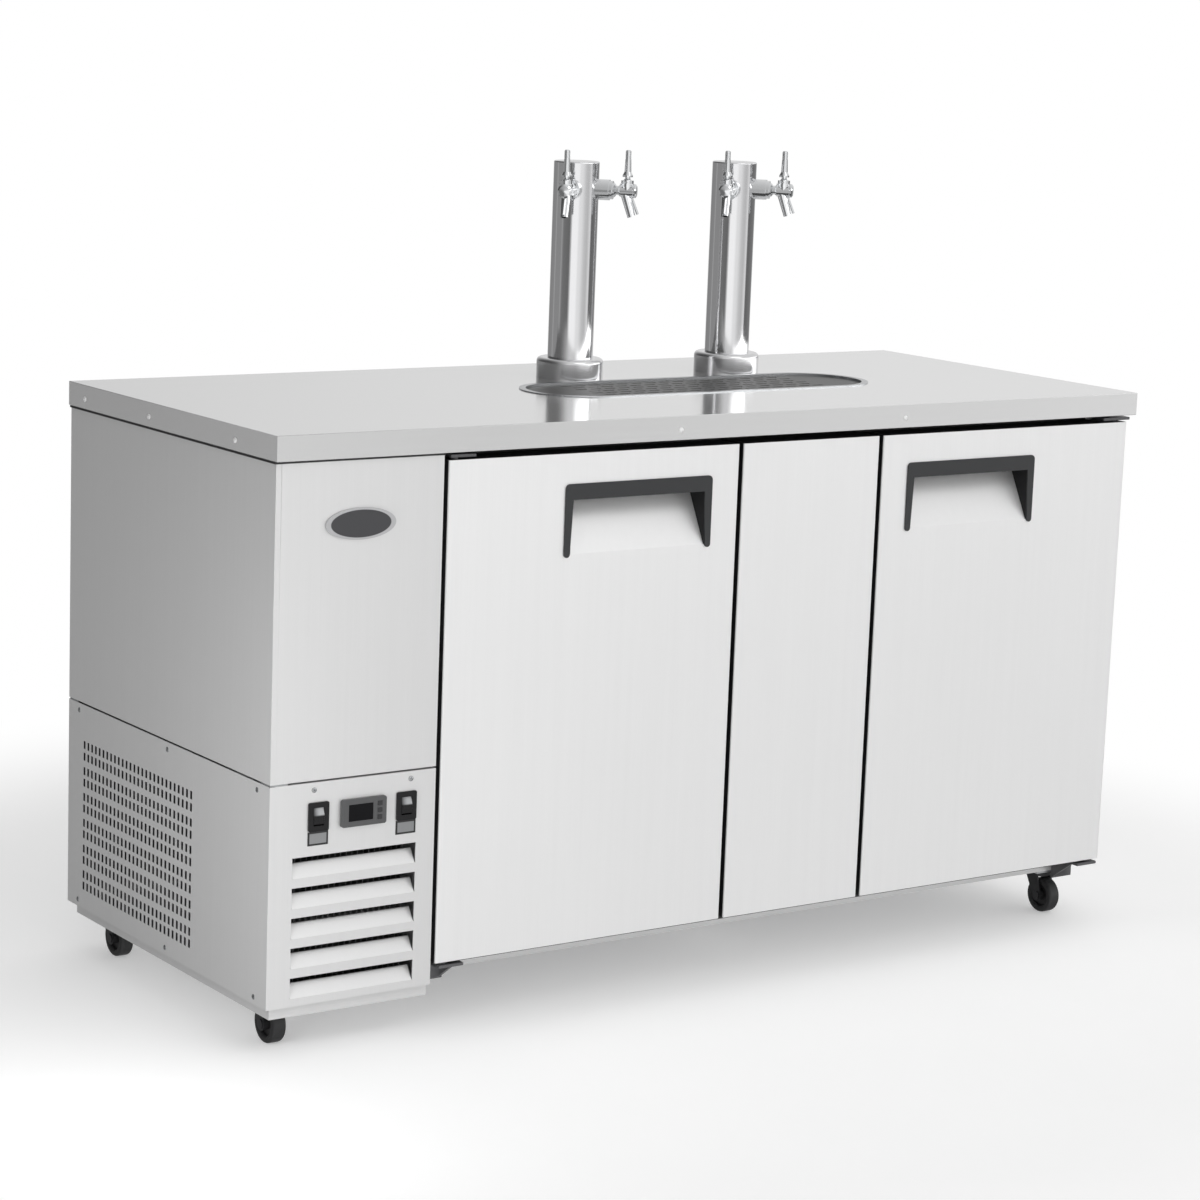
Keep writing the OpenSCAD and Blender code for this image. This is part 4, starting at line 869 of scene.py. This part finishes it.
class KEGCOOLER_OT_controls(KegCoolerOperator, bpy.types.Operator):
    """Finish the controller, switches and badge and add the bare label plates"""

    bl_idname = "kegcooler.controls"
    bl_label = "Controls"

    def execute(self, context):
        plastic, fitting = self.given.plastic, self.given.fitting
        edge = fitting.moulded_edge
        black = moulded("switch_plastic", plastic.black, 0.34, gloss=0.2)
        bezel = moulded("bezel_plastic", plastic.bezel, 0.42)
        window = moulded("window_plastic", plastic.window, 0.12, grain=60.0, bump=0.02, gloss=0.15)
        keys = moulded("key_plastic", plastic.keys, 0.45)
        softened("controller_case", edge, bezel, least=0.004)
        softened("switch_frames", edge * 0.8, black, least=0.004)
        for name in ("rocker_1", "rocker_2"):
            softened(name, edge * 0.6, self.rocker(name, plastic), least=0.004)
        for name in ("key_up", "key_down", "key_set"):
            softened(name, edge * 0.4, keys, least=0.002)
        dressed(window, "controller_window")
        self.badge(plastic, fitting)
        self.labels(plastic, fitting)
        return {"FINISHED"}

    def rocker(self, name, plastic, rough=0.28):
        """Black plastic with a painted highlight: paler on the upper half towards the right."""
        low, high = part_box(name)
        middle = (low + high) / 2
        made, tree, shader, at = surface(name + "_plastic", rough, metal=0.0, gloss=0.2)
        x, _, z = tree.split(at)
        speck = tree.noise(at, scale=1400.0, rough=0.5)
        # The painted highlight covers the upper half, growing from the left end to full just past the middle
        highlight_rise, highlight_past = 0.003, 0.002
        share = z.ramp(middle.z, middle.z + highlight_rise) * x.ramp(low.x, middle.x + highlight_past)
        tint = tree.mixed(share, (*plastic.black, 1.0), (*plastic.lens, 1.0))
        painted(tree, shader, tint, varied(rough, (0.1, speck)), speck, strength=0.2, depth=0.00008)
        return made

    def badge(self, plastic, fitting):
        """A dark bare oval with a light rim."""
        low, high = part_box("badge_plate")
        middle = (low + high) / 2
        half = ((high.x - low.x) / 2, (high.z - low.z) / 2)
        plate = framed(
            "badge_metal", plastic.badge, plastic.badge_rim, middle, half, fitting.badge_edge,
            rough=0.34, oval=True, metal=0.8,
        )
        softened("badge_plate", fitting.moulded_edge * 0.7, plate, least=0.002)

    def labels(self, plastic, fitting):
        """One bare plate in a dark frame under each switch."""
        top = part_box("switch_frames")[0].z - fitting.label_gap
        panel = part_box("louvre_panel")[0].y
        half = (fitting.label_width / 2, fitting.label_height / 2)
        for number in (1, 2):
            name = f"label_plate_{number}"
            low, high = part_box(f"rocker_{number}")
            middle = Vector(((low.x + high.x) / 2, panel, top - half[1]))
            paint = framed(name, plastic.plate, plastic.black, middle, half, fitting.label_rim, rough=0.4)
            reach = Vector((half[0], 0, half[1]))
            front = Vector((0, fitting.label_thick, 0))
            mesh = boxes(name, [(middle - reach - front, middle + reach)])
            placed(name, mesh, "cabinet", paint)


class KEGCOOLER_OT_running_gear(KegCoolerOperator, bpy.types.Operator):
    """Finish the hinges and casters"""

    bl_idname = "kegcooler.running_gear"
    bl_label = "Hinges and casters"

    def execute(self, context):
        steel, plastic = self.given.steel, self.given.plastic
        hinge = moulded("hinge_paint", plastic.hinge, 0.40, grain=800.0, metal=0.5)
        zinc = polished("caster_zinc", steel.zinc, 0.34, metal=0.9, scale=90.0)
        tyre = moulded("wheel_paint", plastic.rubber, 0.55, grain=700.0)
        fork = moulded("fork_paint", plastic.fork, 0.42, grain=700.0, metal=0.5)
        softened("hinge_brackets", self.given.fitting.hinge_edge, hinge, least=0.006)
        dressed(zinc, "caster_plates")
        for number in "1234":
            dressed(tyre, "caster_wheel_" + number)
            dressed(fork, "caster_fork_" + number)
        return {"FINISHED"}


class KEGCOOLER_OT_fasteners(KegCoolerOperator, bpy.types.Operator):
    """Grow the panel screws and the rivets of the worktop's edge"""

    bl_idname = "kegcooler.fasteners"
    bl_label = "Screws and rivets"

    def execute(self, context):
        steel, fitting = self.given.steel, self.given.fitting
        metal = polished("screw_steel", steel.zinc, 0.26, metal=0.95, scale=400.0)
        bright = polished("rivet_steel", steel.door, 0.40, metal=0.3, scale=400.0)
        tree = head_tree()
        screws = grown(
            "screw_heads", tree, self.screw_places(),
            {
                "Radius": fitting.screw_radius, "Height": fitting.screw_radius * SCREW_DOME,
                "Recess": fitting.screw_radius, "Seed": fitting.seed, "Material": metal,
            },
            "cabinet",
        )
        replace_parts(screws, "panel_screws")
        grown(
            "edge_rivets", tree, self.rivet_places(),
            {
                "Radius": fitting.rivet_radius, "Height": fitting.rivet_radius * RIVET_DOME,
                "Recess": fitting.rivet_radius * RIVET_DIMPLE, "Seed": fitting.seed + 1, "Material": bright,
            },
            "cabinet",
        )
        return {"FINISHED"}

    def screw_places(self):
        """The middle of each CAD screw on its panel, with the way it faces."""
        work = merged("panel_screws")
        left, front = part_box("upper_side_panel")[0].x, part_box("upper_front_panel")[0].y
        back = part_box("rear_grille")[1].y
        near = 0.001
        places, seen = [], set()
        for start in work.verts:
            if start in seen:
                continue
            group, todo = [], [start]
            while todo:
                vert = todo.pop()
                if vert in seen:
                    continue
                seen.add(vert)
                group.append(vert.co.copy())
                todo.extend(edge.other_vert(vert) for edge in vert.link_edges)
            low = Vector([min(co[i] for co in group) for i in range(3)])
            high = Vector([max(co[i] for co in group) for i in range(3)])
            middle = (low + high) / 2
            if high.x <= left + near:
                places.append(((left, middle.y, middle.z), (-1, 0, 0)))
            elif high.y <= front + near:
                places.append(((middle.x, front, middle.z), (0, -1, 0)))
            else:
                places.append(((middle.x, back, middle.z), (0, 1, 0)))
        work.free()
        return places

    def rivet_places(self):
        """Two rivets in the worktop's front edge and three in its left edge."""
        low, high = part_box("worktop")
        z = high.z - self.given.fitting.rivet_drop
        across, deep = high.x - low.x, high.y - low.y
        front = [((low.x + share * across, low.y, z), (0, -1, 0)) for share in FRONT_RIVETS]
        side = [((low.x, low.y + share * deep, z), (-1, 0, 0)) for share in SIDE_RIVETS]
        return front + side


class KEGCOOLER_OT_stage(KegCoolerOperator, bpy.types.Operator):
    """Set up the floor, the light and the camera"""

    bl_idname = "kegcooler.stage"
    bl_label = "Studio"

    def execute(self, context):
        scene = context.scene
        self.view(scene)
        self.floor()
        self.world(scene)
        self.lamps()
        scene.view_settings.view_transform = "Standard"
        return {"FINISHED"}

    def axes(self):
        """The camera's right and forward directions on the floor."""
        turn = self.given.stage.azimuth
        return Vector((math.cos(turn), math.sin(turn), 0)), Vector((-math.sin(turn), math.cos(turn), 0))

    def view(self, scene):
        """The camera at the photograph's angle."""
        stage = self.given.stage
        right, forward = self.axes()
        back = -forward * math.cos(stage.height) + Vector((0, 0, math.sin(stage.height)))
        up = back.cross(right)
        turned_right = right * math.cos(stage.roll) + up * math.sin(stage.roll)
        turned_up = up * math.cos(stage.roll) - right * math.sin(stage.roll)
        lens = bpy.data.cameras.new("camera")
        lens.sensor_width = 36.0
        lens.lens = stage.lens
        lens.clip_start, lens.clip_end = 0.1, 200.0
        camera = linked("camera", lens)
        camera.matrix_world = Matrix((turned_right, turned_up, back)).transposed().to_4x4()
        camera.location = Vector(stage.target) + back * stage.distance
        scene.camera = camera

    def floor(self):
        """A pale floor that keeps the shadow near the object and fades to white."""
        stage = self.given.stage
        work = bmesh.new()
        bmesh.ops.create_circle(work, cap_ends=True, segments=96, radius=FLOOR_RADIUS)
        mesh = kept(work, "floor")
        made = bpy.data.materials.new("floor")
        made.use_nodes = True
        made.node_tree.nodes.clear()
        tree = Tree(made.node_tree)
        at = tree.add("ShaderNodeTexCoord", None, None, "Object")
        x, y, _ = tree.split(at)
        path = tree.add("ShaderNodeLightPath", None, None, "Is Camera Ray").socket.node
        seen, glossy = (Wire(tree, path.outputs[name]) for name in ("Is Camera Ray", "Is Glossy Ray"))
        dust = tree.noise(at, scale=3.0, detail=3.0)
        tint = tree.tinted(stage.floor, 0.98 + 0.04 * dust)
        matt = tree.add("ShaderNodeBsdfDiffuse", None, {"Color": tint})
        glow = tree.add("ShaderNodeEmission", None, {"Color": (1, 1, 1, 1), "Strength": stage.glow})
        lifted = tree.add("ShaderNodeAddShader", None, {0: matt, 1: glow})
        near = tree.add("ShaderNodeMixShader", None, {0: seen, 1: matt, 2: lifted})
        white = tree.add("ShaderNodeEmission", None, {"Color": (1, 1, 1, 1), "Strength": 1.0})
        reach = (x * x + y * y) ** 0.5
        blend = tree.add("ShaderNodeMixShader", None, {0: reach.ramp(*FADE) * seen, 1: near, 2: white})
        clear = tree.add("ShaderNodeBsdfTransparent")
        shown = tree.add("ShaderNodeMixShader", None, {0: glossy, 1: blend, 2: clear})
        tree.add("ShaderNodeOutputMaterial", None, {"Surface": shown})
        mesh.materials.append(made)
        floor = linked("floor", mesh)

    def world(self, scene):
        """A studio with soft panels round the horizon: bright behind the camera, dark to its sides."""
        stage = self.given.stage
        right, forward = self.axes()
        world = bpy.data.worlds.new("studio")
        world.use_nodes = True
        world.node_tree.nodes.clear()
        tree = Tree(world.node_tree)
        x, y, z = tree.split(tree.add("ShaderNodeTexCoord", None, None, "Generated"))
        side = x * right.x + y * right.y
        ahead = x * forward.x + y * forward.y
        turn = side.maths("ARCTAN2", side, ahead) * math.degrees(1.0)
        low = turn.steps(PANELS)
        front = turn.steps(SOFTBOX) * stage.softbox
        sky = side.ramp(*SKY_TURN, stage.dim, stage.bright)
        sky = sky + front * z.ramp(*SOFTBOX_FOOT) * z.ramp(*SOFTBOX_HEAD)
        tone = low + z.ramp(*HORIZON) * (sky - low)
        seen = tree.add("ShaderNodeLightPath", None, None, "Is Camera Ray")
        level = tone + seen * (1.0 - tone)
        colour = tree.add("ShaderNodeCombineXYZ", None, {0: level, 1: level, 2: level})
        light = tree.add("ShaderNodeBackground", None, {"Color": colour, "Strength": 1.0})
        tree.add("ShaderNodeOutputWorld", None, {"Surface": light})
        scene.world = world

    def lamps(self):
        """A broad key lamp above the front right and a small one by the front left corner."""
        stage = self.given.stage
        self.lamp("key", *KEY_LAMP, stage.key_power)
        side = self.lamp("side", *SIDE_LAMP, stage.side_power)
        side.visible_glossy = False

    def lamp(self, name, place, target, size, power):
        """One rectangular lamp."""
        data = bpy.data.lights.new(name, "AREA")
        data.shape = "RECTANGLE"
        data.size, data.size_y = size
        data.energy = power
        made = linked(name, data)
        made.location = place
        made.rotation_euler = (Vector(target) - Vector(place)).to_track_quat("-Z", "Y").to_euler()
        return made


class KEGCOOLER_PT_panel(bpy.types.Panel):
    """Sidebar panel with the settings and the steps"""

    bl_idname = "KEGCOOLER_PT_panel"
    bl_label = "Keg cooler"
    bl_space_type = "VIEW_3D"
    bl_region_type = "UI"
    bl_category = "Keg cooler"

    def draw(self, context):
        settings = context.scene.keg_cooler
        for group in (settings.steel, settings.plastic, settings.fitting, settings.stage):
            box = self.layout.box()
            for name in group.__annotations__:
                box.prop(group, name)
        for step in STEPS:
            self.layout.operator(step.bl_idname)


STEPS = (
    KEGCOOLER_OT_sheets,
    KEGCOOLER_OT_core,
    KEGCOOLER_OT_machinery,
    KEGCOOLER_OT_towers,
    KEGCOOLER_OT_drip_tray,
    KEGCOOLER_OT_handles,
    KEGCOOLER_OT_controls,
    KEGCOOLER_OT_running_gear,
    KEGCOOLER_OT_fasteners,
    KEGCOOLER_OT_stage,
)
GROUPS = (SteelSettings, PlasticSettings, FittingSettings, StageSettings, KegCoolerSettings)
CLASSES = (*GROUPS, *STEPS, KEGCOOLER_PT_panel)


def register():
    for made in CLASSES:
        bpy.utils.register_class(made)
    bpy.types.Scene.keg_cooler = PointerProperty(type=KegCoolerSettings)


def unregister():
    del bpy.types.Scene.keg_cooler
    for made in reversed(CLASSES):
        bpy.utils.unregister_class(made)


def main():
    """Registers the add-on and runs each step."""
    register()
    bpy.ops.kegcooler.sheets()
    bpy.ops.kegcooler.core()
    bpy.ops.kegcooler.machinery()
    bpy.ops.kegcooler.towers()
    bpy.ops.kegcooler.drip_tray()
    bpy.ops.kegcooler.handles()
    bpy.ops.kegcooler.controls()
    bpy.ops.kegcooler.running_gear()
    bpy.ops.kegcooler.fasteners()
    bpy.ops.kegcooler.stage()


if __name__ == "__main__":
    main()
